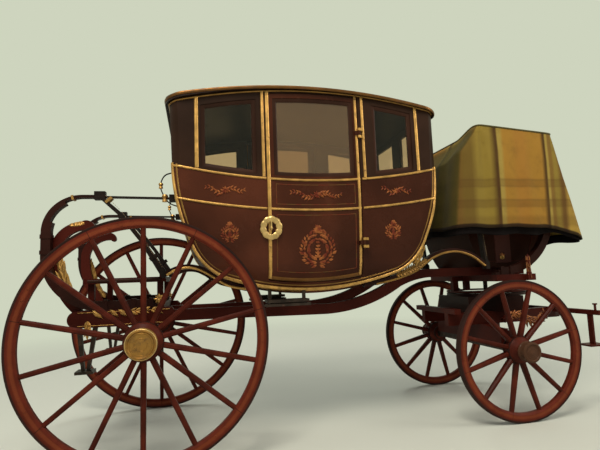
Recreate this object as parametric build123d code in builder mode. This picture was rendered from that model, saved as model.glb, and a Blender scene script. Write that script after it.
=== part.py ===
"""A state coach of about 1820: a boat-bottomed body slung on leather braces from four C-springs.

Lengths are in millimetres. +X is the front, +Y the left side, +Z up, and the floor is z = 0.
"""
import os

from build123d import *

os.makedirs("parts", exist_ok=True)

# Body: half its length and width, its wall, and its distance from both axles
BODY_HALF = 964
BODY_SIDE = 645
WALL = 32
BODY_BEHIND = 141
BODY_AHEAD = 551

# Wheels
REAR_RADIUS = 750
FRONT_RADIUS = 510
TYRE_WIDTH = 48
TYRE_THICK = 14
FELLOE_DEPTH = 55
NAVE_IN = 118
NAVE_OUT = 92
CAP_OUT = 132
DISH = 26

# Springs, perches and pole jaw
SPRING_Y = 480
SPRING_HALF_WIDTH = 30
PERCH_Y = 280
PERCH_DEPTH = 65
JAW_REACH = 880
KING_LEAD = 180

# Fits
RUNNING = 0.1
SEAT_GAP = 0.25
DOOR_GAP = 5
LATCH_GAP = 9

# Places along and across
WHEELBASE = BODY_BEHIND + 2 * BODY_HALF + BODY_AHEAD
REAR_AXLE_X = -(WHEELBASE + JAW_REACH - REAR_RADIUS) / 2
FRONT_AXLE_X = REAR_AXLE_X + WHEELBASE
KING_X = FRONT_AXLE_X + KING_LEAD
BODY_X = REAR_AXLE_X + BODY_BEHIND + BODY_HALF
REAR_HALF_TRACK = BODY_SIDE + 92.5
FRONT_HALF_TRACK = SPRING_Y + 155

# Heights, from the hind axle up to the body and down to the fore carriage
BED_TOP = REAR_RADIUS + 80
BEAM_TOP = BED_TOP + 105
TRANSOM_TOP = BED_TOP + 230
TRANSOM_LOW = TRANSOM_TOP - 50
PERCH_TOP = TRANSOM_TOP + PERCH_DEPTH
BODY_LOW = BED_TOP + 180
FUTCHELL_LOW = BED_TOP - 168
FUTCHELL_TOP = FUTCHELL_LOW + 98
TABLE_TOP = FUTCHELL_TOP + 126
RING_THICK = 22
RING_LOW = TABLE_TOP + RING_THICK + 7

pieces = []


def keep(part, label):
    """Names a finished piece and lists it for writing out."""
    part.label = label
    pieces.append((part, label))


def side_plane(x, y=0.0, z=0.0):
    """A vertical plane along the coach whose drawing axes are X and Z, drawn out towards -Y."""
    return Plane(origin=(x, y, z), x_dir=(1, 0, 0), z_dir=(0, -1, 0))


def cross_plane(x, z=0.0):
    """A vertical plane across the coach whose drawing axes are Y and Z, drawn out towards +X."""
    return Plane(origin=(x, 0, z), x_dir=(0, 1, 0), z_dir=(1, 0, 0))


def box(x0, x1, y0, y1, z0, z1):
    """A plain block between two corners."""
    with BuildPart() as block:
        with BuildSketch(Plane.XY.offset(z0)):
            with Locations(((x0 + x1) / 2, (y0 + y1) / 2)):
                Rectangle(x1 - x0, y1 - y0)
        extrude(amount=z1 - z0)
    return block.part


def side_box(x0, x1, side, y0, y1, z0, z1):
    """A plain block on one side of the coach, by its distances from the middle plane."""
    low, high = sorted((side * y0, side * y1))
    return box(x0, x1, low, high, z0, z1)


def outline(x, y, z, points, width):
    """A straight-sided profile in X and Z from the point given, drawn out evenly about its plane."""
    with BuildPart() as plate:
        with BuildSketch(side_plane(x, y, z)):
            with BuildLine():
                Polyline(*points, close=True)
            make_face()
        extrude(amount=width / 2, both=True)
    return plate.part


# Wheels: name, axle x, side, radius, half track, spokes, nave radius, arm radius, cap radius
WHEELS = [
    ("rear_right", REAR_AXLE_X, -1, REAR_RADIUS, REAR_HALF_TRACK, 14, 116, 24, 84),
    ("rear_left", REAR_AXLE_X, 1, REAR_RADIUS, REAR_HALF_TRACK, 14, 116, 24, 84),
    ("front_right", FRONT_AXLE_X, -1, FRONT_RADIUS, FRONT_HALF_TRACK, 12, 96, 21, 66),
    ("front_left", FRONT_AXLE_X, 1, FRONT_RADIUS, FRONT_HALF_TRACK, 12, 96, 21, 66),
]


def build_wheel(name, x, side, radius, half_track, spokes, nave, arm, cap):
    """Makes one dished wheel about the Y axis and sets it on its axle."""
    place = Location((x, side * half_track, radius))
    felloe_out = radius - TYRE_THICK - SEAT_GAP
    felloe_in = felloe_out - FELLOE_DEPTH
    half = TYRE_WIDTH / 2

    with BuildPart() as tyre:
        with BuildSketch(Plane.XY):
            with BuildLine():
                Polyline(
                    (radius - TYRE_THICK, -half),
                    (radius - 4, -half),
                    (radius, -half + 5),
                    (radius, half - 5),
                    (radius - 4, half),
                    (radius - TYRE_THICK, half),
                    close=True,
                )
            make_face()
        revolve(axis=Axis.Y)
    keep(tyre.part.moved(place), name + "_tyre")

    with BuildPart() as felloes:
        with BuildSketch(Plane.XY):
            with BuildLine():
                Polyline(
                    (felloe_out, -half + 1),
                    (felloe_out, half - 1),
                    (felloe_in + 14, half - 1),
                    (felloe_in, half - 10),
                    (felloe_in, -half + 10),
                    (felloe_in + 14, -half + 1),
                    close=True,
                )
            make_face()
        revolve(axis=Axis.Y)
    keep(felloes.part.moved(place), name + "_felloes")

    with BuildPart() as spoke:
        with BuildSketch(Plane(origin=(nave - 16, -side * DISH, 0), x_dir=(0, 1, 0), z_dir=(1, 0, 0))) as foot:
            Rectangle(50, 34)
            chamfer(foot.vertices(), length=9)
        with BuildSketch(Plane(origin=(felloe_in + 8, 0, 0), x_dir=(0, 1, 0), z_dir=(1, 0, 0))) as tongue:
            Rectangle(36, 30)
            chamfer(tongue.vertices(), length=9)
        loft(ruled=True)

    with BuildPart() as hub:
        with BuildSketch(Plane.XY):
            with BuildLine():
                Polyline(
                    (arm + RUNNING, -side * NAVE_IN),
                    (nave - 40, -side * NAVE_IN),
                    (nave - 34, -side * (NAVE_IN - 12)),
                    (nave - 36, -side * (NAVE_IN - 30)),
                    (nave - 8, -side * 66),
                    (nave, -side * 56),
                    (nave, side * 6),
                    (nave - 8, side * 16),
                    (cap - 8, side * 40),
                    (cap - 8, side * NAVE_OUT),
                    (arm + RUNNING, side * NAVE_OUT),
                    close=True,
                )
            make_face()
        revolve(axis=Axis.Y)
        for k in range(spokes):
            add(spoke.part.rotate(Axis.Y, 360 * (k + 0.5) / spokes))
        Cylinder(felloe_in - SEAT_GAP, 400, rotation=(90, 0, 0), mode=Mode.INTERSECT)
    keep(hub.part.moved(place), name + "_spokes")

    inner = cap - 8 + SEAT_GAP
    with BuildPart() as hubcap:
        with BuildSketch(Plane.XY):
            with BuildLine():
                Polyline(
                    (inner, side * 58),
                    (cap, side * 58),
                    (cap + 5, side * 64),
                    (cap + 5, side * 72),
                    (cap, side * 78),
                    (cap, side * (CAP_OUT - 8)),
                    (cap + 2, side * CAP_OUT),
                    (cap - 8, side * (CAP_OUT + 3)),
                    (cap - 14, side * (CAP_OUT - 4)),
                    (cap - 26, side * (CAP_OUT - 4)),
                    (0, side * (CAP_OUT + 2)),
                    (0, side * (CAP_OUT - 12)),
                    (inner, side * (CAP_OUT - 14)),
                    close=True,
                )
            make_face()
        revolve(axis=Axis.Y)
    keep(hubcap.part.moved(place), name + "_cap")


for row in WHEELS:
    build_wheel(*row)

# Axles, each a square bar, two round arms and a nut in each hub cap:
# name, x, height, half track, arm radius, half the bar
AXLES = [
    ("hind_axle", REAR_AXLE_X, REAR_RADIUS, REAR_HALF_TRACK, 24, 27.5),
    ("fore_axle", FRONT_AXLE_X, FRONT_RADIUS, FRONT_HALF_TRACK, 21, 25),
]
for name, x, z, half_track, arm, half_bar in AXLES:
    shoulder = half_track - NAVE_IN - 6
    with BuildPart() as axle:
        add(box(x - half_bar, x + half_bar, -shoulder + 14, shoulder - 14, z - half_bar, z + half_bar))
        with Locations(Location((x, 0, z), (90, 0, 0))):
            Cylinder(arm, 2 * (half_track + NAVE_OUT + 14))
        for s in (-1, 1):
            with Locations(Location((x, s * (shoulder - 7), z), (90, 0, 0))):
                Cylinder(half_bar + 12, 14)
            with Locations(Location((x, s * (half_track + NAVE_OUT + 9), z), (90, 0, 0))):
                Cylinder(arm + 10, 12)
    keep(axle.part, name)
HIND_BAR = AXLES[0][5]
FORE_BAR = AXLES[1][5]

# Hind carriage
X = REAR_AXLE_X
FX = FRONT_AXLE_X
with BuildPart() as hind_bed:
    with BuildSketch(Plane.XY.offset(REAR_RADIUS + HIND_BAR)):
        with Locations((X, 0)):
            Rectangle(90, 1130)
            RectangleRounded(130, 260, 20)
    extrude(amount=BED_TOP - REAR_RADIUS - HIND_BAR)
keep(hind_bed.part, "hind_axle_bed")

BEAM_WIDTH = 2 * SPRING_HALF_WIDTH + 10
BEAM_INNER = SPRING_Y - BEAM_WIDTH / 2
with BuildPart() as hind_frame:
    for s in (-1, 1):
        with BuildSketch(side_plane(X, s * SPRING_Y, BED_TOP)):
            with BuildLine():
                Line((-425, 0), (125, 0))
                ThreePointArc((125, 0), (159, 15), (172, 50))
                Line((172, 50), (172, 85))
                Line((172, 85), (152, 105))
                Line((152, 105), (-425, 105))
                ThreePointArc((-425, 105), (-462, 90), (-478, 52))
                ThreePointArc((-478, 52), (-462, 15), (-425, 0))
            make_face()
        extrude(amount=BEAM_WIDTH / 2, both=True)
    add(box(X + 40, X + 100, -BEAM_INNER, BEAM_INNER, BED_TOP + 75, BED_TOP + 130))
    add(box(X - 400, X - 340, -BEAM_INNER, BEAM_INNER, BED_TOP + 32, BEAM_TOP))
keep(hind_frame.part, "hind_frame")

BOARD_LOW = BED_TOP + 272
with BuildPart() as hind_platform:
    add(box(X - 420, X + 110, -400, 400, BOARD_LOW, BOARD_LOW + 34))
    fillet(hind_platform.edges().filter_by(Axis.Z), 30)
    for y in (-340, 340):
        add(box(X - 390, X - 350, y - 20, y + 20, BEAM_TOP, BOARD_LOW))
        add(box(X + 50, X + 90, y - 20, y + 20, BED_TOP + 130, BOARD_LOW))
keep(hind_platform.part, "hind_platform")

# Hind scrolls stand inside the springs
with BuildPart() as hind_scrolls:
    for y in (-415, 415):
        with BuildSketch(side_plane(X, y, BED_TOP)):
            with BuildLine():
                a = ThreePointArc((-400, 38), (-550, 210), (-605, 460))
                b = ThreePointArc(a @ 1, (-560, 610), (-420, 682))
                c = ThreePointArc(b @ 1, (-352, 675), (-335, 632))
                d = ThreePointArc(c @ 1, (-352, 616), (-375, 628))
                e = ThreePointArc(d @ 1, (-480, 600), (-540, 460))
                f = ThreePointArc(e @ 1, (-495, 255), (-400, 95))
                Line(f @ 1, a @ 0)
            make_face()
        extrude(amount=22, both=True)
keep(hind_scrolls.part, "hind_scrolls")

# Hind steps hang from the side beams in a V
with BuildPart() as hind_steps:
    for s in (-1, 1):
        y = s * SPRING_Y
        add(outline(X, y, BED_TOP, [(-425, 0), (-397, 0), (-375, -264), (-395, -264)], 30))
        add(outline(X, y, BED_TOP, [(-330, 0), (-302, 0), (-345, -264), (-365, -264)], 30))
        add(box(X - 425, X - 320, y - 55, y + 55, BED_TOP - 280, BED_TOP - 263))
keep(hind_steps.part, "hind_steps")

# C-springs of three leaves: how much each leaf falls short at the heel, and its sweep at the top in degrees
LEAF = 19
LEAVES = [(0, 90), (25, 62), (50, 20)]
LOWER_BEND = 355
UPPER_BEND = 242
SPRING_RISE = 145


def c_spring(heel, foot, tip, lower=LOWER_BEND, rise=SPRING_RISE):
    """A C-spring on its foot, curving to the back; heel and tip are the ends of its main leaf."""
    back = foot - lower
    with BuildPart() as spring:
        for number, (short, sweep) in enumerate(LEAVES):
            depth = LEAF * (number + 0.5)
            with BuildSketch(side_plane(0)):
                with BuildLine():
                    Line((heel - short, depth), (foot, depth))
                    CenterArc((foot, lower), lower - depth, 270, -90)
                    Line((back + depth, lower), (back + depth, lower + rise))
                    bend = CenterArc((back + UPPER_BEND, lower + rise), UPPER_BEND - depth, 180, -sweep)
                    if sweep == 90:
                        Line(bend @ 1, (tip, lower + rise + UPPER_BEND - depth))
                trace(line_width=LEAF)
            extrude(amount=SPRING_HALF_WIDTH, both=True)
    return spring.part


hind_spring = c_spring(60, -285, -330)
with BuildPart() as hind_springs:
    for s in (-1, 1):
        add(hind_spring.moved(Location((X, s * SPRING_Y, BEAM_TOP))))
keep(hind_springs.part, "hind_springs")

# Crane-neck perches run from the hind axle bed over the front wheels to the fore transom
with BuildPart() as perches:
    for y in (-PERCH_Y, PERCH_Y):
        with BuildSketch(side_plane(0, y, BED_TOP)):
            with BuildLine():
                Line((X - 60, 0), (X + 100, 0))
                Line((X + 100, 0), (FX - 1370, -12))
                ThreePointArc((FX - 1370, -12), (FX - 1030, 44), (FX - 760, 170))
                ThreePointArc((FX - 760, 170), (FX - 620, 216), (FX - 460, 230))
                Line((FX - 460, 230), (FX + 340, 230))
                Line((FX + 340, 230), (FX + 340, 230 + PERCH_DEPTH))
                Line((FX + 340, 230 + PERCH_DEPTH), (FX - 470, 230 + PERCH_DEPTH))
                ThreePointArc((FX - 470, 230 + PERCH_DEPTH), (FX - 655, 280), (FX - 805, 234))
                ThreePointArc((FX - 805, 234), (FX - 1060, 116), (FX - 1380, 62))
                Line((FX - 1380, 62), (X + 1000, 75))
                Line((X + 1000, 75), (X - 60, 75))
                Line((X - 60, 75), (X - 60, 0))
            make_face()
        extrude(amount=28, both=True)
keep(perches.part, "perches")

# Fore transom, standing on four posts on the fixed ring of the turntable
RING_OUT = 330
RING_IN = 272
with BuildPart() as transom:
    add(box(KING_X - 245, KING_X + 100, -SPRING_Y - 40, SPRING_Y + 40, TRANSOM_LOW, TRANSOM_TOP))
    add(box(KING_X - 340, KING_X + 340, -35, 35, TRANSOM_LOW, TRANSOM_TOP - 10))
    for px, py in ((-300, 0), (300, 0), (0, -300), (0, 300)):
        add(box(KING_X + px - 24, KING_X + px + 24, py - 24, py + 24, RING_LOW + 14, TRANSOM_LOW))
    with BuildSketch(Plane.XY.offset(RING_LOW)):
        with Locations((KING_X, 0)):
            Circle(RING_OUT)
            Circle(RING_IN, mode=Mode.SUBTRACT)
    extrude(amount=14)
keep(transom.part, "fore_transom")

KING_R = 18
NUT_THICK = 32
NUT_LOW = FUTCHELL_TOP - NUT_THICK - 6
with BuildPart() as king_pin:
    with BuildSketch(Plane.XY.offset(NUT_LOW)):
        with Locations((KING_X, 0)):
            Circle(KING_R)
    extrude(amount=TRANSOM_LOW - NUT_LOW)
    with BuildSketch(Plane.XY.offset(NUT_LOW)):
        with Locations((KING_X, 0)):
            RegularPolygon(36, 6)
    extrude(amount=NUT_THICK)
keep(king_pin.part, "king_pin")

# Front springs stand on the transom and curve to the front, with a wider lower bend
fore_spring = c_spring(-120, -195, -30, lower=470, rise=30).mirror(Plane.YZ)
with BuildPart() as front_springs:
    for s in (-1, 1):
        add(fore_spring.moved(Location((KING_X - 360, s * SPRING_Y, TRANSOM_TOP))))
keep(front_springs.part, "front_springs")

# Fore carriage, which turns about the king pin
with BuildPart() as fore_bed:
    low = FRONT_RADIUS + FORE_BAR
    with BuildSketch(cross_plane(FX)):
        with BuildLine():
            Polyline((-300, FUTCHELL_LOW), (300, FUTCHELL_LOW), (360, FUTCHELL_LOW - 14))
            ThreePointArc((360, FUTCHELL_LOW - 14), (420, FUTCHELL_LOW - 26), (480, FUTCHELL_LOW - 30))
            Polyline((480, FUTCHELL_LOW - 30), (480, low), (-480, low), (-480, FUTCHELL_LOW - 30))
            ThreePointArc((-480, FUTCHELL_LOW - 30), (-420, FUTCHELL_LOW - 26), (-360, FUTCHELL_LOW - 14))
            Line((-360, FUTCHELL_LOW - 14), (-300, FUTCHELL_LOW))
        make_face()
    extrude(amount=42, both=True)
keep(fore_bed.part, "fore_axle_bed")

JAW_BACK = FX + 660
JAW_END = FX + JAW_REACH
with BuildPart() as futchells:
    for s in (-1, 1):
        with BuildSketch(Plane.XY.offset(FUTCHELL_LOW)):
            with BuildLine():
                Polyline(
                    (FX - 330, s * 170), (FX - 330, s * 225), (FX + 300, s * 225),
                    (JAW_BACK, s * 150), (JAW_BACK, s * 95), (FX + 300, s * 170), close=True,
                )
            make_face()
        extrude(amount=FUTCHELL_TOP - FUTCHELL_LOW)
    add(box(FX - 330, FX - 275, -330, 330, FUTCHELL_TOP, FUTCHELL_TOP + 40))
keep(futchells.part, "futchells")

with BuildPart() as turntable:
    add(box(KING_X - 95, KING_X + 95, -360, 360, FUTCHELL_TOP, TABLE_TOP))
    add(box(KING_X - 325, KING_X - 270, -240, 240, FUTCHELL_TOP, TABLE_TOP))
    with BuildSketch(Plane.XY.offset(TABLE_TOP)):
        with Locations((KING_X, 0)):
            Circle(RING_OUT)
            Circle(RING_IN, mode=Mode.SUBTRACT)
    extrude(amount=RING_THICK)
    with BuildSketch(Plane.XY.offset(FUTCHELL_LOW)):
        with Locations((KING_X, 0)):
            Circle(KING_R + RUNNING)
    extrude(amount=TRANSOM_TOP - FUTCHELL_LOW, mode=Mode.SUBTRACT)
keep(turntable.part, "turntable")

# Splinter bar with its roller bolts and the coachman's steps
BAR_X = JAW_BACK + 20
BAR_LOW = FUTCHELL_TOP - 32
BAR_TOP = BAR_LOW + 36
BOLT_Y = (250, 640)
TREAD_Y = 585
with BuildPart() as splinter_bar:
    with BuildSketch(Plane.XY.offset(BAR_LOW)):
        with BuildLine():
            Polyline(
                (BAR_X - 20, -420), (BAR_X - 20, 420), (BAR_X - 12, 680), (BAR_X + 12, 680),
                (BAR_X + 20, 420), (BAR_X + 20, -420), (BAR_X + 12, -680), (BAR_X - 12, -680), close=True,
            )
        make_face()
    extrude(amount=BAR_TOP - BAR_LOW)
    for s in (-1, 1):
        for y in BOLT_Y:
            for radius, low, high in ((9, 0, 42), (17, 42, 52)):
                with BuildSketch(Plane.XY.offset(BAR_TOP + low)):
                    with Locations((BAR_X, s * y)):
                        Circle(radius)
                extrude(amount=high - low)
        add(box(BAR_X - 8, BAR_X + 8, s * TREAD_Y - 22, s * TREAD_Y + 22, BAR_LOW - 223, BAR_LOW))
        add(box(BAR_X - 75, BAR_X + 75, s * TREAD_Y - 60, s * TREAD_Y + 60, BAR_LOW - 236, BAR_LOW - 223))
keep(splinter_bar.part, "splinter_bar")

PIN_R = 12
PIN_X = JAW_END - 80
JAW_DEPTH = 66
with BuildPart() as pole_jaw:
    with BuildSketch(Plane.XY.offset(FUTCHELL_LOW)):
        with BuildLine():
            Polyline(
                (FX + 400, -95), (JAW_BACK, -95), (JAW_BACK, -60), (JAW_END - 60, -60),
                (JAW_END, -38), (JAW_END, 38), (JAW_END - 60, 60), (JAW_BACK, 60),
                (JAW_BACK, 95), (FX + 400, 95), close=True,
            )
        make_face()
    extrude(amount=JAW_DEPTH)
    with BuildSketch(Plane.XY.offset(FUTCHELL_LOW + JAW_DEPTH)):
        with Locations((PIN_X, 0)):
            Circle(26)
    extrude(amount=8)
    with BuildSketch(Plane.XY.offset(FUTCHELL_LOW)):
        with Locations((PIN_X, 0)):
            Circle(PIN_R)
    extrude(amount=JAW_DEPTH + 8, mode=Mode.SUBTRACT)
keep(pole_jaw.part, "pole_jaw")

# Body. Its heights are above its lowest point, and its lengths are from its middle
H = BODY_HALF
W = BODY_SIDE


def body_solid(inset):
    """The body's outside drawn in by inset: a side view, a cross section and a plan, all met."""
    with BuildPart() as solid:
        with BuildSketch(side_plane(BODY_X, 0, BODY_LOW)):
            with BuildLine():
                Polyline((24 - H, 840), (-H, 1510), (H, 1510), (H - 24, 840))
                ThreePointArc((H - 24, 840), (H - 58, 580), (H - 132, 350))
                ThreePointArc((H - 132, 350), (H - 212, 206), (H - 344, 105))
                ThreePointArc((H - 344, 105), (0, 0), (344 - H, 105))
                ThreePointArc((344 - H, 105), (212 - H, 206), (132 - H, 350))
                ThreePointArc((132 - H, 350), (58 - H, 580), (24 - H, 840))
            make_face()
            if inset:
                offset(amount=-inset, kind=Kind.INTERSECTION)
        extrude(amount=800, both=True)
        with BuildSketch(cross_plane(BODY_X, BODY_LOW)):
            with BuildLine():
                Polyline((-W, 770), (13 - W, 1590), (W - 13, 1590), (W, 770))
                ThreePointArc((W, 770), (W - 8, 470), (W - 39, 200))
                ThreePointArc((W - 39, 200), (W - 90, 70), (W - 215, -10))
                Line((W - 215, -10), (215 - W, -10))
                ThreePointArc((215 - W, -10), (90 - W, 70), (39 - W, 200))
                ThreePointArc((39 - W, 200), (8 - W, 470), (-W, 770))
            make_face()
            if inset:
                offset(amount=-inset, kind=Kind.INTERSECTION)
        extrude(amount=H + 236, both=True, mode=Mode.INTERSECT)
        with BuildSketch(Plane.XY.offset(BODY_LOW - 110)):
            with Locations((BODY_X, 0)):
                RectangleRounded(2 * (H - 2 - inset), 2 * (W + 5 - inset), 110 - inset)
        extrude(amount=1800, mode=Mode.INTERSECT)
    return solid.part


def under_arc(end_z, mid_z):
    """Everything below an arc that runs the length of the body."""
    half = H + 36
    with BuildPart() as region:
        with BuildSketch(side_plane(BODY_X, 0, BODY_LOW)):
            with BuildLine():
                ThreePointArc((-half, end_z), (0, mid_z), (half, end_z))
                Polyline((half, end_z), (half, -160), (-half, -160), (-half, end_z))
            make_face()
        extrude(amount=800, both=True)
    return region.part


def body_box(x0, x1, side, y0, y1, z0=-110, z1=1590):
    """A block on one side of the body, by its distances from the body's middle and lowest point."""
    return side_box(BODY_X + x0, BODY_X + x1, side, y0, y1, BODY_LOW + z0, BODY_LOW + z1)


BELT = (856, 747)
EAVES = (1266, 1395)
FLOOR = 105
DOOR_REAR = -305
DOOR_FRONT = 345
HINGE_X = BODY_X + DOOR_FRONT + DOOR_GAP / 2
HINGE_Y = W + 12
HINGE_PIN = 5
HINGE_HEIGHTS = (295, 1075)
WINDOWS = {"rear": (209 - H, -385), "door": (-268, 308), "front": (455, H - 209)}
FRONT_LIGHTS = [(-470, -60), (60, 470)]
GLASS = (W - 27, W - 21)

outer = body_solid(0)
grown = body_solid(-SEAT_GAP)
lining = body_solid(WALL)
lining_door = body_solid(WALL + 7)
skin = outer - lining
shell = (outer - (lining & body_box(-H - 100, H + 100, 1, -800, 800, FLOOR, 1700))) & under_arc(*EAVES)

door_end, door_mid = EAVES[0] - 30, EAVES[1] - 30
sill_end, sill_mid = 332, 54
door_high = under_arc(door_end, door_mid) - under_arc(sill_end, sill_mid)
open_high = under_arc(door_end + DOOR_GAP, door_mid + DOOR_GAP)
open_high = open_high - under_arc(sill_end - DOOR_GAP, sill_mid - DOOR_GAP)

glass_top = (EAVES[0] - 70, EAVES[1] - 62)
glass_low = (BELT[0] + 26, BELT[1] + 26)
band = under_arc(*glass_top) - under_arc(*glass_low)
pane_high = under_arc(glass_top[0] - SEAT_GAP, glass_top[1] - SEAT_GAP)
pane_high = pane_high - under_arc(glass_low[0] + SEAT_GAP, glass_low[1] + SEAT_GAP)

for side, label in ((-1, "right"), (1, "left")):
    panel = skin & body_box(DOOR_REAR, DOOR_FRONT, side, 300, 800) & door_high
    panel = panel - (band & body_box(*WINDOWS["door"], side, 300, 800))
    gap = (outer - lining_door) & body_box(DOOR_REAR - LATCH_GAP, DOOR_FRONT + DOOR_GAP, side, 300, 800) & open_high
    shell = shell - gap
    for which in ("rear", "front"):
        shell = shell - (band & body_box(*WINDOWS[which], side, 300, 800))
    with BuildPart() as door:
        add(panel)
        for height in HINGE_HEIGHTS:
            z = BODY_LOW + height
            add(side_box(HINGE_X - 30, HINGE_X, side, W - 33, HINGE_Y, z, z + 30) - lining)
            with BuildSketch(Plane.XY.offset(z)):
                with Locations((HINGE_X, side * HINGE_Y)):
                    Circle(11)
            extrude(amount=30)
            with BuildSketch(Plane.XY.offset(z)):
                with Locations((HINGE_X, side * HINGE_Y)):
                    Circle(HINGE_PIN + RUNNING)
            extrude(amount=30, mode=Mode.SUBTRACT)
    keep(door.part, "door_" + label)
    keep(pane_high & body_box(*WINDOWS["door"], side, *GLASS), "door_glass_" + label)

for y0, y1 in FRONT_LIGHTS:
    shell = shell - body_box(H - 164, H + 136, 1, y0, y1, 895, 1252)

with BuildPart() as rocker:
    for y in (-440, 440):
        with BuildSketch(side_plane(BODY_X, y, BODY_LOW)):
            with BuildLine():
                ThreePointArc((364 - H, 72), (0, -26), (H - 364, 72))
                Polyline((H - 364, 72), (H - 404, 102), (404 - H, 102), (364 - H, 72))
            make_face()
        extrude(amount=38, both=True)

keep((shell & under_arc(*BELT)) + rocker.part, "body_lower")
keep(shell - under_arc(BELT[0] + SEAT_GAP, BELT[1] + SEAT_GAP), "body_upper")

with BuildPart() as side_glass:
    for side in (-1, 1):
        for which in ("rear", "front"):
            add(pane_high & body_box(*WINDOWS[which], side, *GLASS))
    for y0, y1 in FRONT_LIGHTS:
        add(body_box(H - 39, H - 33, 1, y0, y1, 895, 1252))
keep(side_glass.part, "side_glass")

# Roof, a crowned section carried along its own top line and cut to fit over the eaves:
# height of its edge over the eaves behind, in the middle and in front, and height of its crown
ROOF_EDGE = (38, 12, 8)
ROOF_CROWN = 31
top_line = Edge.make_three_point_arc(
    Vector(BODY_X - H - 36, 0, BODY_LOW + EAVES[0] + ROOF_EDGE[0]),
    Vector(BODY_X, 0, BODY_LOW + EAVES[1] + ROOF_EDGE[1]),
    Vector(BODY_X + H + 36, 0, BODY_LOW + EAVES[0] + ROOF_EDGE[2]),
)
with BuildPart() as roof:
    with BuildSketch(Plane(origin=top_line @ 0, x_dir=(0, 1, 0), z_dir=top_line % 0)):
        with BuildLine():
            Polyline((-W - 23, 0), (-W - 23, -90), (W + 23, -90), (W + 23, 0))
            ThreePointArc((W + 23, 0), (0, ROOF_CROWN), (-W - 23, 0))
        make_face()
    sweep(path=top_line)
    with BuildSketch(Plane.XY.offset(BODY_LOW + 1190)):
        with Locations((BODY_X, 0)):
            RectangleRounded(2 * (H + 20), 2 * (W + 23), 125)
    extrude(amount=400, mode=Mode.INTERSECT)
keep(roof.part - under_arc(EAVES[0] + SEAT_GAP, EAVES[1] + SEAT_GAP), "roof")

# Seats in the cabin, each a locker with a cushion
SEAT_FRONT = H - 534
SEAT_BACK = H - 164
SEAT_TOP = 380
seat_room = body_solid(WALL + SEAT_GAP)
with BuildPart() as seats:
    for s in (-1, 1):
        x0, x1 = sorted((s * SEAT_FRONT, s * SEAT_BACK))
        add(body_box(x0, x1, 1, 105 - W, W - 105, FLOOR, SEAT_TOP) & seat_room)
keep(seats.part, "seats")
with BuildPart() as cushions:
    for s in (-1, 1):
        x0, x1 = sorted((s * (SEAT_FRONT - 15), s * SEAT_BACK))
        add(body_box(x0, x1, 1, 110 - W, W - 110, SEAT_TOP, SEAT_TOP + 90))
    fillet(cushions.edges().filter_by(Axis.Y).group_by(Axis.Z)[-1], 25)
keep(cushions.part, "seat_cushions")

# Hinge lugs and their pins stay on the body
with BuildPart() as hinges:
    for side in (-1, 1):
        for height in HINGE_HEIGHTS:
            z = BODY_LOW + height
            for low in (z - 20, z + 32):
                add(side_box(HINGE_X + DOOR_GAP / 2, HINGE_X + 30, side, W - 33, HINGE_Y, low, low + 18) - grown)
                with BuildSketch(Plane.XY.offset(low)):
                    with Locations((HINGE_X, side * HINGE_Y)):
                        Circle(11)
                extrude(amount=18)
            with BuildSketch(Plane.XY.offset(z - 20)):
                with Locations((HINGE_X, side * HINGE_Y)):
                    Circle(HINGE_PIN)
            extrude(amount=70)
keep(hinges.part, "door_hinges")

# Iron loops under the body's corners reach out to the leather braces
LOOP_AHEAD = H + BODY_AHEAD - 145
LOOP_BEHIND = -H - BODY_BEHIND + 115
with BuildPart() as loops:
    for s in (-1, 1):
        with BuildSketch(side_plane(BODY_X, s * (SPRING_Y + 20), BODY_LOW)):
            with BuildLine():
                ThreePointArc((H - 584, 0), (H - 374, 38), (H - 244, 80))
                ThreePointArc((H - 244, 80), (H - 144, 118), (H - 39, 185))
                ThreePointArc((H - 39, 185), (H + 166, 228), (LOOP_AHEAD, 110))
                Line((LOOP_AHEAD, 110), (LOOP_AHEAD, 146))
                ThreePointArc((LOOP_AHEAD, 146), (H + 166, 260), (H - 59, 214))
                ThreePointArc((H - 59, 214), (H - 154, 152), (H - 254, 114))
                ThreePointArc((H - 254, 114), (H - 379, 70), (H - 584, 32))
                Line((H - 584, 32), (H - 584, 0))
            make_face()
        extrude(amount=22, both=True)
        with BuildSketch(side_plane(BODY_X, s * (SPRING_Y + 20), BODY_LOW)):
            with BuildLine():
                ThreePointArc((584 - H, 0), (374 - H, 46), (239 - H, 128))
                ThreePointArc((239 - H, 128), (109 - H, 168), (LOOP_BEHIND, 122))
                Line((LOOP_BEHIND, 122), (LOOP_BEHIND, 156))
                ThreePointArc((LOOP_BEHIND, 156), (109 - H, 200), (252 - H, 158))
                ThreePointArc((252 - H, 158), (384 - H, 76), (584 - H, 32))
                Line((584 - H, 32), (584 - H, 0))
            make_face()
        extrude(amount=22, both=True)
keep(loops.part, "body_loops")

# Folded steps under the doors: hanger x, top of hanger
HANGERS = [(-300, 12), (-60, 2)]
with BuildPart() as steps:
    for s in (-1, 1):
        for x, top in HANGERS:
            add(body_box(x - 12, x + 12, s, 478, 490, -60, top))
        add(body_box(-335, -20, s, 400, 540, -105, -88))
        add(body_box(-325, -30, s, 400, 530, -80, -60))
        add(body_box(-300, -60, s, 420, 500, -88, -80))
keep(steps.part, "folding_steps")

# Leather braces and check straps
with BuildPart() as braces:
    for s in (-1, 1):
        y = s * SPRING_Y
        add(outline(X, y, BED_TOP, [
            (-330, 818), (-330, 872), (-262, 872), (-262, 822), (-160, 730), (-20, 546),
            (115, 346), (115, 294), (92, 294), (-44, 532), (-178, 710), (-290, 818),
        ], 52))
        add(outline(FX, y, BED_TOP, [
            (-150, 948), (-150, 1000), (-188, 996), (-196, 950), (-176, 670), (-140, 342), (-140, 278),
            (-105, 278), (-105, 330), (-120, 350), (-150, 670), (-172, 948),
        ], 52))
keep(braces.part, "braces")

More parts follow.
